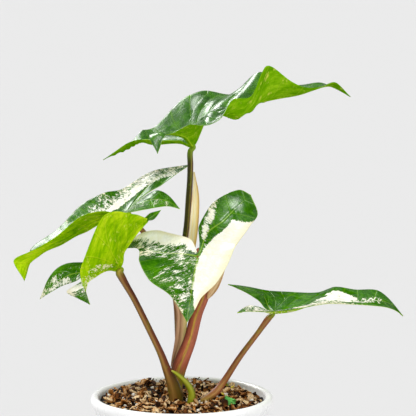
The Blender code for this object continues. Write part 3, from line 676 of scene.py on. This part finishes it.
def stalk_material(name, across, young, base):
    """Colours across the stalk from its left to its right side, with others at its two ends."""
    s = Shading(name, 0.36)
    way = s.attribute("way", "Vector")
    side, _, share = s.split(way)
    lines = s.noise(s.stretch(way, (16.0, 1.6, 1.0)), 1.0, 3.0, 0.65)
    blotch = s.noise(s.place(), 120.0, 4.0, 0.65)
    shifted = s.times(s.math('SUBTRACT', lines, 0.5), 0.16, s.math('ADD', side, 0.5))
    # The colours across hold the stalk's own tones with painted shade at its edges and a painted
    # highlight along it
    colour = s.screen_colours(shifted, across)
    colour = s.mix(s.ramp(lines, 0.3, 0.7, 0.35, 0.0), colour, tone(*across[0][1]))
    colour = s.mix(s.ramp(blotch, 0.5, 0.75, 0.0, 0.35), colour, tone(*young))
    high = s.ramp(s.times(blotch, 0.06, share), 0.03, 0.11, 0.95, 0.0)
    colour = s.mix(high, colour, tone(*young))
    low = s.ramp(s.times(blotch, -0.1, share), 0.7, 0.84, 0.0, 0.95)
    colour = s.mix(s.times(low, s.ramp(side, -0.2, 0.25, 0.35, 1.0)), colour, tone(*base))
    s.set("Base Color", colour)
    s.set("Specular IOR Level", 0.2)
    s.bump(lines, 0.25, 0.5)
    return s.material


def sheath_material(name, across):
    s = Shading(name, 0.45)
    way = s.attribute("way", "Vector")
    side = s.split(way)[0]
    lines = s.noise(s.stretch(way, (12.0, 0.9, 1.0)), 1.0, 3.0, 0.65)
    shifted = s.times(s.math('SUBTRACT', lines, 0.5), 0.3, s.times(side, 0.5, 0.5))
    s.set("Base Color", s.screen_colours(shifted, across))
    s.bump(lines, 0.25, 0.8)
    return s.material


def pot_material():
    """White plastic, with a little dust at the foot and mix on the inside."""
    s = Shading("white_plastic", 0.24)
    place = s.place()
    cloud = s.noise(place, 22.0, 3.0)
    scuff = s.noise(place, 90.0, 4.0, 0.6)
    dust = s.noise(place, 420.0, 4.0, 0.7)
    colour = s.mix(s.ramp(cloud, 0.35, 0.7), (0.93, 0.93, 0.93), (0.97, 0.97, 0.97))
    at_foot = s.ramp(s.split(place)[2], 0.0, 0.02, 0.14, 0.0)
    colour = s.mix(s.times(at_foot, s.ramp(dust, 0.5, 0.7)), colour, (0.62, 0.58, 0.50))
    within = s.times(s.attribute("inside"), s.ramp(dust, 0.5, 0.75, 0.0, 0.5))
    s.set("Base Color", s.mix(within, colour, (0.50, 0.36, 0.22)))
    s.set("Roughness", s.ramp(scuff, 0.35, 0.7, 0.26, 0.32))
    s.set("Coat Weight", 0.2)
    s.set("Coat Roughness", 0.08)
    return s.material


def chip_material():
    s = Shading("bark_chips", 0.82)
    grain = s.noise(s.stretch(s.attribute("own", "Vector"), (0.7, 4.5, 4.5)), 1.0, 4.0, 0.65)
    speck = s.noise(s.place(), 900.0, 3.0, 0.7)
    # The tone holds each chip's own tone, raised on its top as painted light and lowered underneath
    # as painted shade
    colour = s.colours(s.attribute("tone"), [
        (0.0, (0.006, 0.002, 0.0005)), (0.25, (0.028, 0.008, 0.001)), (0.5, (0.19, 0.058, 0.008)),
        (0.75, (0.60, 0.24, 0.05)), (1.0, (1.0, 0.72, 0.40))])
    colour = s.mix(s.ramp(grain, 0.38, 0.56, 0.9, 0.0), colour, (0.016, 0.006, 0.002))
    colour = s.mix(s.ramp(speck, 0.6, 0.72, 0.0, 0.4), colour, (0.55, 0.32, 0.14))
    s.set("Base Color", colour)
    s.set("Specular IOR Level", 0.1)
    s.bump(s.times(grain, 0.7, s.times(speck, 0.3)), 0.5, 0.9)
    return s.material


def painted_shade_mix_material():
    s = Shading("mix_body", 0.92)
    place = s.place()
    crumbs = s.noise(place, 260.0, 5.0, 0.7)
    # Dark brown mix, made nearly black as painted shade in the gaps between the chips
    s.set("Base Color", s.colours(crumbs, [
        (0.3, (0.002, 0.001, 0.0005)), (0.5, (0.006, 0.003, 0.001)),
        (0.68, (0.03, 0.012, 0.004))]))
    s.bump(s.math('ADD', crumbs, s.ramp(s.cells(place, 420.0), 0.0, 0.3)), 1.2, 0.9)
    return s.material


def perlite_material():
    s = Shading("perlite_grains", 0.85)
    place = s.place()
    holes = s.cells(place, 1300.0)
    cloud = s.noise(place, 500.0, 3.0, 0.6)
    colour = s.mix(s.ramp(cloud, 0.4, 0.7), (0.95, 0.93, 0.88), (0.80, 0.72, 0.58))
    s.set("Base Color", s.mix(s.ramp(holes, 0.0, 0.12, 0.5, 0.0), colour, (0.52, 0.42, 0.30)))
    s.bump(s.ramp(holes, 0.0, 0.3), 0.3, 0.8)
    return s.material


def plain_growth_material(name, dark, light):
    s = Shading(name, 0.6)
    place = s.place()
    cloud = s.noise(place, 160.0, 4.0, 0.6)
    fine = s.noise(place, 900.0, 3.0, 0.6)
    s.set("Base Color", s.mix(s.ramp(cloud, 0.35, 0.65), dark, light))
    s.bump(s.times(fine, 0.5, cloud), 0.3, 0.6)
    return s.material


# Leaf blades
class BentSheet:
    """Carries the flat leaf to its place by a thin-plate spline through the leaf's points."""

    def __init__(self, leaf):
        rows = np.array([row for part in leaf.values() for row in part], float)
        self.flat, placed = rows[:, :2], rows[:, 2:]
        count = len(rows)
        system = np.zeros((count + 3, count + 3))
        system[:count, :count] = self.bend(self.flat)
        system[:count, count] = system[count, :count] = 1
        system[:count, count + 1:] = self.flat
        system[count + 1:, :count] = self.flat.T
        self.weights = np.linalg.solve(system, np.vstack([placed, np.zeros((3, 3))]))

    def bend(self, where):
        apart = np.linalg.norm(where[:, None] - self.flat[None], axis=2)
        return apart ** 2 * np.log(np.maximum(apart, 1e-9))

    def place(self, where):
        where = np.asarray(where, float)
        count = len(self.flat)
        return self.bend(where) @ self.weights[:count] + self.weights[count] \
            + where @ self.weights[count + 1:]

    def upward(self, where):
        """Unit normals of the upper side."""
        step = 0.25
        where = np.asarray(where, float)
        across = self.place(where + (step, 0)) - self.place(where - (step, 0))
        ahead = self.place(where + (0, step)) - self.place(where - (0, step))
        normal = np.cross(across, ahead)
        return normal / np.linalg.norm(normal, axis=1)[:, None]


def margin(leaf, count):
    """The flat leaf's edge, anticlockwise, with a corner at each lobe's tip."""
    parts = ("notch_to_right_lobe", "right_lobe_to_tip", "tip_to_left_lobe", "left_lobe_to_notch")
    curves = []
    for part, following in zip(parts, parts[1:] + parts[:1]):
        knots = [row[:2] for row in leaf[part]] + [leaf[following][0][:2]]
        curves.append(smooth_route(knots, MARGIN_STEPS))
    lengths = [walked_along(curve) for curve in curves]
    whole = sum(entry[-1] for entry in lengths)
    edge = []
    for curve, length in zip(curves, lengths):
        steps = max(4, round(count * length[-1] / whole))
        marks = np.linspace(0, length[-1], steps + 1)[:-1]
        edge.append(np.stack([np.interp(marks, length, curve[:, k]) for k in range(2)], 1))
    return np.vstack(edge)


def vein_fields(leaf, flat, bows):
    """At each point of the flat leaf: the phases of the tip's and the lobe's side veins and the
    place on the midrib that the first of them comes from, and the distance to the ribs."""
    length = leaf["tip_to_left_lobe"][0][1]
    u, v = flat.T
    away = np.abs(u)
    origin = v - (VEIN_LEAN[0] * away + VEIN_LEAN[1] * away ** 2)
    main = origin / (VEIN_SPACING * length) + np.where(u < 0, 0.42, 0.0)
    lobes = (np.array(leaf["right_lobe_to_tip"][0][:2], float),
             np.array(leaf["left_lobe_to_notch"][0][:2], float))
    base = np.zeros(len(flat))
    rib = away / (0.95 * np.clip(1 - v / length, 0, 1) + 0.16)
    rib[v < 0] = FAR_FROM_RIB
    for lobe, side, bend in zip(lobes, (1, -1), bows):
        reach = np.linalg.norm(lobe)
        way = lobe / reach
        along = flat @ way
        bow = bend * reach * np.sin(np.clip(along / reach, 0, 1) * math.pi)
        off = (flat @ np.array([-way[1], way[0]])) * side - bow
        here = (u * side) >= 0
        base[here] = ((along - 0.75 * np.abs(off)) / (LOBE_VEIN_SPACING * reach))[here]
        thick = 0.75 * np.clip(1 - along / reach, 0, 1) + 0.14
        rib = np.minimum(rib, np.where((along > 0) & here, np.abs(off) / thick, FAR_FROM_RIB))
    return np.stack([main, base, origin / 10], 1), rib


def relief_height(veins, rib, edge, quilt):
    """Height of the upper side between its sunk veins, in millimetres."""
    phase = np.where(veins[:, 2] < 0, veins[:, 1], veins[:, 0])
    bulge = np.abs(np.sin(math.pi * phase)) ** 0.6
    bulge *= smoothstep(0.2, 3.5, rib)
    return (quilt * bulge - 0.5 * smoothstep(2.4, 0.3, rib)) * smoothstep(0.97, 0.6, edge)


def paint_cream(paint, flat):
    share = np.zeros(len(flat))
    for amount, across, along, half_length, half_width, turn, soft in paint:
        turn = math.radians(turn)
        x, y = flat[:, 0] - across, flat[:, 1] - along
        a = (x * math.cos(turn) + y * math.sin(turn)) / half_length
        b = (-x * math.sin(turn) + y * math.cos(turn)) / half_width
        cover = smoothstep(1 + soft, 1 - soft, np.hypot(a, b))
        share += (amount - share) * cover
    return share


def make_leaf(name, leaf, paint, quilt, bows, materials, seed):
    sheet = BentSheet(leaf)
    edge = margin(leaf, MARGIN_POINTS)
    shares = np.linspace(0, 1, BLADE_RINGS + 1)[1:]
    flat = np.vstack([np.zeros((1, 2))] + [edge * share for share in shares])
    out = np.concatenate([[0], np.repeat(shares, len(edge))])
    veins, rib = vein_fields(leaf, flat, bows)
    middle, normal = sheet.place(flat), sheet.upward(flat)
    wobble = value_noise(np.column_stack([flat, np.full(len(flat), seed * 40.0)]), 11.0)
    quilt = quilt * smoothstep(-2, 20, flat[:, 1])
    height = relief_height(veins, rib, out, quilt) + 0.4 * wobble * smoothstep(1.0, 0.8, out)
    half = np.interp(out, *BLADE_HALF_THICKNESS)
    length = leaf["tip_to_left_lobe"][0][1]
    keel = smoothstep(2.6, 0.2, rib) * (0.35 + 0.75 * np.exp(-np.hypot(*flat.T) / (0.35 * length)))
    points = np.vstack([middle + normal * (height + half)[:, None],
                        middle + normal * (height - half - keel)[:, None]])
    upper, under, rim = sheet_faces(BLADE_RINGS, len(edge))
    attributes = {"flat": np.column_stack([flat / 10, np.full(len(flat), seed * 3.7)]),
                  "veins": veins, "rib": rib, "edge": out, "cream": paint_cream(paint, flat)}
    piece(name, points, upper + under + rim, materials, [name],
          {key: np.concatenate([values, values]) for key, values in attributes.items()},
          [0] * len(upper) + [1] * (len(under) + len(rim)))
    return sheet


# Stalks, sheaths and roots
def cross_directions(route, facing):
    """At each point of a route: two directions across it, the first of them square to facing."""
    along = np.gradient(route, axis=0)
    along /= np.linalg.norm(along, axis=1)[:, None]
    broad = np.cross(along, facing)
    broad /= np.linalg.norm(broad, axis=1)[:, None]
    return broad, np.cross(along, broad)


def way_rows(side, reach, whole):
    """The attribute way: from side to side, walked in centimetres, and walked as a share."""
    return np.column_stack([side, np.full(len(side), reach / 10),
                            np.full(len(side), reach / whole)])


def make_stalk(name, knots, surface, depth=1):
    """A stalk with its broad side to the front and fine ridges along it."""
    rows = smooth_route(knots, STALK_STEPS)
    route, radii = rows[:, :3], rows[:, 3]
    broad, deep = cross_directions(route, TO_THE_FRONT)
    turn = full_turn(STALK_SIDES)
    side = 1 - (turn / math.pi - 0.5) % 2
    walked = walked_along(route)
    points, way = [], []
    for place, b, d, radius, reach in zip(route, broad, deep, radii, walked):
        rough = 1 + 0.02 * np.cos(9 * turn + reach * 0.03) + 0.025 * np.sin(4 * turn + reach * 0.07)
        points.append(place + radius * rough[:, None] * (
            b * np.cos(turn)[:, None] + d * np.sin(turn)[:, None] * depth))
        way.append(way_rows(side, reach, walked[-1]))
    piece(name, np.vstack(points), sweep_faces(len(route), STALK_SIDES), [surface], [name],
          {"way": np.vstack(way)})


def make_sheath(name, knots, curl, surface):
    """A thin sheath, curled back at its two edges."""
    rows = smooth_route(knots, SHEATH_STEPS)
    route, widths = rows[:, :3], rows[:, 3]
    broad, deep = cross_directions(route, TO_THE_FRONT)
    walked = walked_along(route)
    across = np.linspace(-1, 1, SHEATH_POINTS)
    points, way = [], []
    for place, b, d, width, reach in zip(route, broad, deep, widths, walked):
        for sign in (1, -1):
            share = across * sign
            back = curl * width * share ** 2 + 0.12 * np.sin(share * 9 + reach * 0.2)
            thick = 0.28 * np.sqrt(np.clip(1 - share ** 2, 0, 1)) + 0.05
            points.append(place + b * (share * width)[:, None] + d * (sign * thick - back)[:, None])
            way.append(way_rows(share, reach, walked[-1]))
    piece(name, np.vstack(points), sweep_faces(len(route), 2 * SHEATH_POINTS), [surface],
          [name], {"way": np.vstack(way)})


# Pot
def round_profile(profile, radius, steps):
    """The profile with each inner corner rounded."""
    profile = [np.array(p, float) for p in profile]
    out = [profile[0]]
    for before, corner, after in zip(profile, profile[1:], profile[2:]):
        back, ahead = before - corner, after - corner
        reach = min(radius, np.linalg.norm(back) * 0.45, np.linalg.norm(ahead) * 0.45)
        start = corner + back / np.linalg.norm(back) * reach
        end = corner + ahead / np.linalg.norm(ahead) * reach
        for k in range(steps + 1):
            t = k / steps
            out.append((1 - t) ** 2 * start + 2 * t * (1 - t) * corner + t ** 2 * end)
    out.append(profile[-1])
    return out


def make_pot(surface):
    r, h, lip = POT_RIM_RADIUS, POT_HEIGHT, POT_HEIGHT - POT_LIP_HEIGHT
    wall_top = r - 6.2
    # From the axis under the pot out and up the wall, over the rim, and down to the axis inside
    profile = round_profile([
        (0, 0), (POT_FOOT_RADIUS - 1.2, 0), (POT_FOOT_RADIUS, 1.2), (wall_top, lip - 2),
        (wall_top + 1.9, h - 5), (r - POT_WALL - 0.6, h - 5), (r - POT_WALL - 3, lip + 0.3),
        (r - POT_WALL - 2.6, lip), (r - 3.6, lip), (r - 3.2, lip + 0.4), (r - 0.3, h - 4.8),
        (r, h - 3), (r - 0.5, h - 1.2), (r - 1.7, h - 0.2), (r - 3, h), (r - 4.4, h - 0.5),
        (r - 5.2, h - 1.6), (r - 5.5, h - 3.5), (r - 7.9, h - 13),
        (POT_FOOT_RADIUS - POT_WALL, 1.8), (0, 1.8),
    ], 1.2, 4)
    rings = [ring_points(radius, height, POT_SIDES) for radius, height in profile[1:-1]]
    points = np.vstack([[(0, 0, profile[0][1])], *rings, [(0, 0, profile[-1][1])]])
    inner = np.interp(points[:, 2], (0, 1.7, 1.9, h - 13, h - 2), (0, 0, 41, r - 7.4, r - 5.1))
    inside = (np.hypot(points[:, 0], points[:, 1]) < inner).astype(float)
    piece("pot_shell", points, turned_faces(len(rings), POT_SIDES), [surface], ["pot"],
          {"inside": inside})


# Mix and loose pieces
def mix_height(x, y):
    """The top of the mix, with heaps against the back of the pot."""
    level = POT_HEIGHT - MIX_DEPTH_BELOW_RIM + 0.3 * np.sin(x / 6.5 + 1) * np.cos(y / 7.5)
    for heap_x, heap_y, size, rise in MIX_HEAPS:
        level = level + rise * np.exp(-((x - heap_x) ** 2 + (y - heap_y) ** 2) / (2 * size ** 2))
    return level


def make_mix(surface):
    """The body of the mix, a little below the loose pieces that lie on it."""
    rings = [ring_points(POT_FOOT_RADIUS - POT_WALL - 0.3, MIX_BOTTOM, MIX_SIDES),
             ring_points(POT_RIM_RADIUS - 8.3, POT_HEIGHT - 13, MIX_SIDES)]
    # The top, from the wall in to the middle
    for k in range(MIX_RINGS):
        flat = ring_points((POT_RIM_RADIUS - 5.9) * (1 - k / MIX_RINGS), 0, MIX_SIDES)
        level = mix_height(flat[:, 0], flat[:, 1]) - 1.0 + 0.9 * value_noise(flat, 3.1) \
            + 0.6 * value_noise(flat, 1.4)
        rings.append(np.column_stack([flat[:, :2], level]))
    points = np.vstack([[(0, 0, MIX_BOTTOM)], *rings, [(0, 0, mix_height(0, 0) - 1.2)]])
    piece("mix_body", points, turned_faces(len(rings), MIX_SIDES), [surface],
          ["potting_mix"])


def unit_lump(level):
    work = bmesh.new()
    bmesh.ops.create_icosphere(work, subdivisions=level, radius=1)
    points = np.array([v.co[:] for v in work.verts])
    faces = [[v.index for v in f.verts] for f in work.faces]
    work.free()
    return points, faces


def scatter(name, places, level, surface, replaced, rng, angular=False):
    """Rough little bodies: each place is (x, y, z, length, width, height, turn, tilt, tone)."""
    unit, unit_faces = unit_lump(level)
    points, faces, tones, own = [], [], [], []
    for x, y, z, length, width, height, turn, tilt, shade in places:
        body = unit * (1 + rng.uniform(-0.16, 0.16, (len(unit), 1)))
        if angular:
            body = np.sign(body) * np.abs(body) ** 0.6
            body = body * (1 + 0.25 * body[:, [0]] * rng.uniform(-1, 1))
        body = body * (length / 2, width / 2, height / 2)
        own.append(body + rng.uniform(0, 50, 3))
        a, b, c = body.T
        a, c = a * math.cos(tilt) - c * math.sin(tilt), a * math.sin(tilt) + c * math.cos(tilt)
        a, b = a * math.cos(turn) - b * math.sin(turn), a * math.sin(turn) + b * math.cos(turn)
        faces += [[v + len(unit) * len(points) for v in face] for face in unit_faces]
        points.append(np.stack([a + x, b + y, c + z], 1))
        # Painted light and shade: each body's tone rises towards its top and falls towards its
        # bottom
        tones.append(np.clip(shade + 0.42 * unit[:, 2], 0, 1))
    piece(name, np.vstack(points), faces, [surface], replaced,
          {"tone": np.concatenate(tones), "own": np.vstack(own)}, smooth=not angular)


def random_places(rng, count, sizes, flatness, lift, tones, tilt=0.5):
    """Places for scatter on the mix, inside the pot's wall and clear of the crown's middle."""
    out = []
    while len(out) < count:
        x, y = rng.uniform(-CHIP_FIELD, CHIP_FIELD, 2)
        length = rng.uniform(*sizes)
        if math.hypot(x, y) > CHIP_REACH - length * 0.42:
            continue
        if math.hypot(x - CROWN_CENTRE[0], y - CROWN_CENTRE[1]) < CROWN_GAP:
            continue
        width = length * rng.uniform(0.25, 0.6)
        height = width * rng.uniform(*flatness)
        z = float(mix_height(x, y)) + rng.uniform(*lift)
        out.append((x, y, z, length, width, height, rng.uniform(0, 2 * math.pi),
                    rng.normal(0, tilt), float(np.clip(rng.normal(*tones), 0, 1))))
    return out


def make_loose_pieces():
    """Chips, perlite and yellow bits: those of the CAD a little smaller, and many more."""
    rng = np.random.default_rng(CHIP_SEED)
    chips = [(x, y, float(mix_height(x, y)) + 0.6, length * 0.8, width * 0.7, height * 0.7,
              math.radians(turn), rng.normal(0, 0.25), rng.uniform(0.2, 0.9))
             for x, y, length, width, height, turn in BARK]
    chips += random_places(rng, LARGE_CHIPS, (3.0, 8.5), (0.25, 0.5), (-0.4, 2.2), (0.52, 0.38),
                           0.7)
    chips += random_places(rng, SMALL_CHIPS, (1.2, 3.2), (0.4, 0.8), (-0.4, 2.0), (0.6, 0.28), 0.8)
    scatter("bark_chips", chips, 1, chip_material(),
            ["bark_%02d" % (k + 1) for k in range(len(BARK))], rng, True)
    grains = [(x, y, float(mix_height(x, y)) + 0.9, length * 0.6, width * 0.6, height * 0.6, 0, 0,
               0.5) for x, y, length, width, height, turn in PERLITE]
    grains += [entry[:4] + (entry[3] * 0.8, entry[3] * 0.7) + entry[6:] for entry in
               random_places(rng, GRAINS, (1.3, 3.4), (0.8, 1.0), (-0.2, 1.4), (0.5, 0.2))]
    scatter("perlite_grains", grains, 2, perlite_material(),
            ["perlite_%d" % (k + 1) for k in range(len(PERLITE))], rng)
    bits = [(x, y, float(mix_height(x, y)) + 2.9, size, size * 0.6, size * 0.45, turn, 0.4, 0.5)
            for x, y, size, turn in YELLOW_BITS]
    yellow = plain_growth_material("yellow_bit_skin", (0.46, 0.34, 0.01), (0.86, 0.66, 0.05))
    scatter("yellow_bits", bits, 2, yellow, [], rng)


def make_fibres():
    """Coir fibres among the chips."""
    rng = np.random.default_rng(FIBRE_SEED)
    points, faces, tones = [], [], []
    size = FIBRE_RINGS * FIBRE_SIDES
    ring = full_turn(FIBRE_SIDES)
    for _ in range(FIBRES):
        reach, turn = 50 * math.sqrt(rng.uniform()), rng.uniform(0, 2 * math.pi)
        x, y = reach * math.cos(turn), reach * math.sin(turn)
        z = float(mix_height(x, y)) + rng.uniform(-0.2, 1.0)
        heading, bend = rng.uniform(0, 2 * math.pi), rng.normal(0, 0.25)
        route = [np.array([x, y, z])]
        for k in range(FIBRE_RINGS - 1):
            heading += bend
            rise = 0.35 * math.sin(k / FIBRE_RINGS * math.pi * 2 + bend * 9)
            route.append(route[-1] + np.array([math.cos(heading), math.sin(heading), rise]) * 1.1)
        route = np.array(route)
        if np.hypot(route[:, 0], route[:, 1]).max() > FIBRE_REACH:
            continue
        broad, deep = cross_directions(route, (0.1, 0.2, 1))
        thick = rng.uniform(0.12, 0.28)
        start = len(points) * size
        points.append(np.vstack([p + thick * (b * np.cos(ring)[:, None] + d * np.sin(ring)[:, None])
                                 for p, b, d in zip(route, broad, deep)]))
        faces += [[start + v for v in face] for face in sweep_faces(FIBRE_RINGS, FIBRE_SIDES)]
        tones.append(np.full(size, rng.uniform(0.3, 0.95)))
    points = np.vstack(points)
    piece("coir_fibres", points, faces, [bpy.data.materials["bark_chips"]],
          attributes={"tone": np.concatenate(tones), "own": points * 0.5})


def make_green_bit(surface):
    """The small crumpled green leaf on the mix."""
    turn = full_turn(GREEN_BIT_SIDES)
    outline = 1 + 0.2 * np.cos(3 * turn + 0.8) + 0.1 * np.cos(5 * turn + 2) \
        + 0.05 * np.cos(13 * turn) + 0.5 * np.exp(-((turn - 3.6) / 0.3) ** 2)
    flat, lift = [np.zeros((1, 2))], [np.zeros(1)]
    for share in np.linspace(0, 1, GREEN_BIT_RINGS + 1)[1:]:
        ring = share * outline
        flat.append(np.stack([4.0 * ring * np.cos(turn), 3.1 * ring * np.sin(turn)], 1))
        lift.append(1.1 * share ** 2 * np.sin(3 * turn + 1) + 0.5 * share ** 3 * np.sin(7 * turn)
                    + 0.3 * np.sin(9 * share + 2 * turn))
    flat, lift = np.vstack(flat), np.concatenate(lift)
    across, up = np.array([0.98, 0.2, 0.0]), np.array([-0.1, 0.52, 0.85])
    out = np.cross(across, up)
    middle = GREEN_BIT_PLACE + flat[:, [0]] * across + flat[:, [1]] * up
    points = np.vstack([middle + out * (lift + side * 0.22)[:, None] for side in (1, -1)])
    upper, under, rim = sheet_faces(GREEN_BIT_RINGS, GREEN_BIT_SIDES)
    piece("green_bit", points, upper + under + rim, [surface], ["moss"])


def make_crown(surface):
    """The low mound that the stalks come out of, hidden by chips."""
    unit, unit_faces = unit_lump(4)
    body = unit * CROWN_SIZE * (1 + 0.12 * value_noise(unit * 10, 4.0)[:, None])
    piece("crown_mound", body + CROWN_CENTRE, unit_faces, [surface], ["crown"])


# The plant, the pot and the stage
def build_plant():
    for seed, (key, (leaf, paint, quilt, bows, gloss, light)) in enumerate(LEAVES.items()):
        materials = [leaf_top_material("leaf_skin_" + key, gloss),
                     leaf_under_material("leaf_underside_" + key, light)]
        sheet = make_leaf("leaf_" + key, leaf, paint, quilt, bows, materials, seed + 1)
        joint, normal = sheet.place([(0, 0)])[0], sheet.upward([(0, 0)])[0]
        # The stalk's upper end meets the blade from below
        top = [(*(joint - normal * 0.4), 1.7), (*(joint - normal * 2.4), 1.5)]
        surface = stalk_material("stalk_skin_" + key, *STALK_SKINS[key])
        make_stalk("stalk_" + key, top + STALKS[key], surface, STALK_DEPTHS.get(key, 1))
    for name, (knots, curl, skin, across) in SHEATHS.items():
        make_sheath(name, knots, curl, sheath_material(skin, across))
    root = stalk_material("root_skin", *ROOT_SKIN)
    make_stalk("aerial_root", AERIAL_ROOT, root)
    make_stalk("sprout", SPROUT, root)


def build_pot():
    make_pot(pot_material())
    mix = painted_shade_mix_material()
    make_mix(mix)
    make_loose_pieces()
    make_fibres()
    make_green_bit(plain_growth_material("green_bit_skin", (0.03, 0.2, 0.03), (0.14, 0.5, 0.08)))
    make_crown(mix)


def build_stage():
    scene = bpy.context.scene
    scene.view_settings.view_transform = 'Standard'
    world = bpy.data.worlds.new("studio")
    world.use_nodes = True
    background = world.node_tree.nodes["Background"]
    background.inputs["Color"].default_value = (1, 1, 1, 1)
    background.inputs["Strength"].default_value = SKY
    scene.world = world

    mesh = bpy.data.meshes.new("floor")
    rim = ring_points(FLOOR_RADIUS, 0, FLOOR_SIDES)
    mesh.from_pydata(rim.tolist(), [], [list(range(FLOOR_SIDES))])
    floor = bpy.data.objects.new("floor", mesh)
    scene.collection.objects.link(floor)
    pale = Shading("pale_floor", 0.9)
    pale.set("Base Color", (FLOOR, FLOOR, FLOOR))
    pale.set("Specular IOR Level", 0.0)
    mesh.materials.append(pale.material)

    for name, strength, angle, where in LIGHTS:
        light = bpy.data.lights.new(name, 'SUN')
        light.energy = strength
        light.angle = math.radians(angle)
        lamp = bpy.data.objects.new(name, light)
        lamp.rotation_euler = Vector(where).to_track_quat('Z', 'Y').to_euler()
        scene.collection.objects.link(lamp)

    lens = bpy.data.cameras.new("camera")
    lens.lens = CAMERA_LENS
    lens.sensor_width = CAMERA_SENSOR
    lens.clip_end = 100
    camera = bpy.data.objects.new("camera", lens)
    camera.location = [c * MM for c in CAMERA_PLACE]
    camera.rotation_euler = (math.radians(90 - CAMERA_PITCH), 0, 0)
    scene.collection.objects.link(camera)
    scene.camera = camera


build_plant()
build_pot()
build_stage()
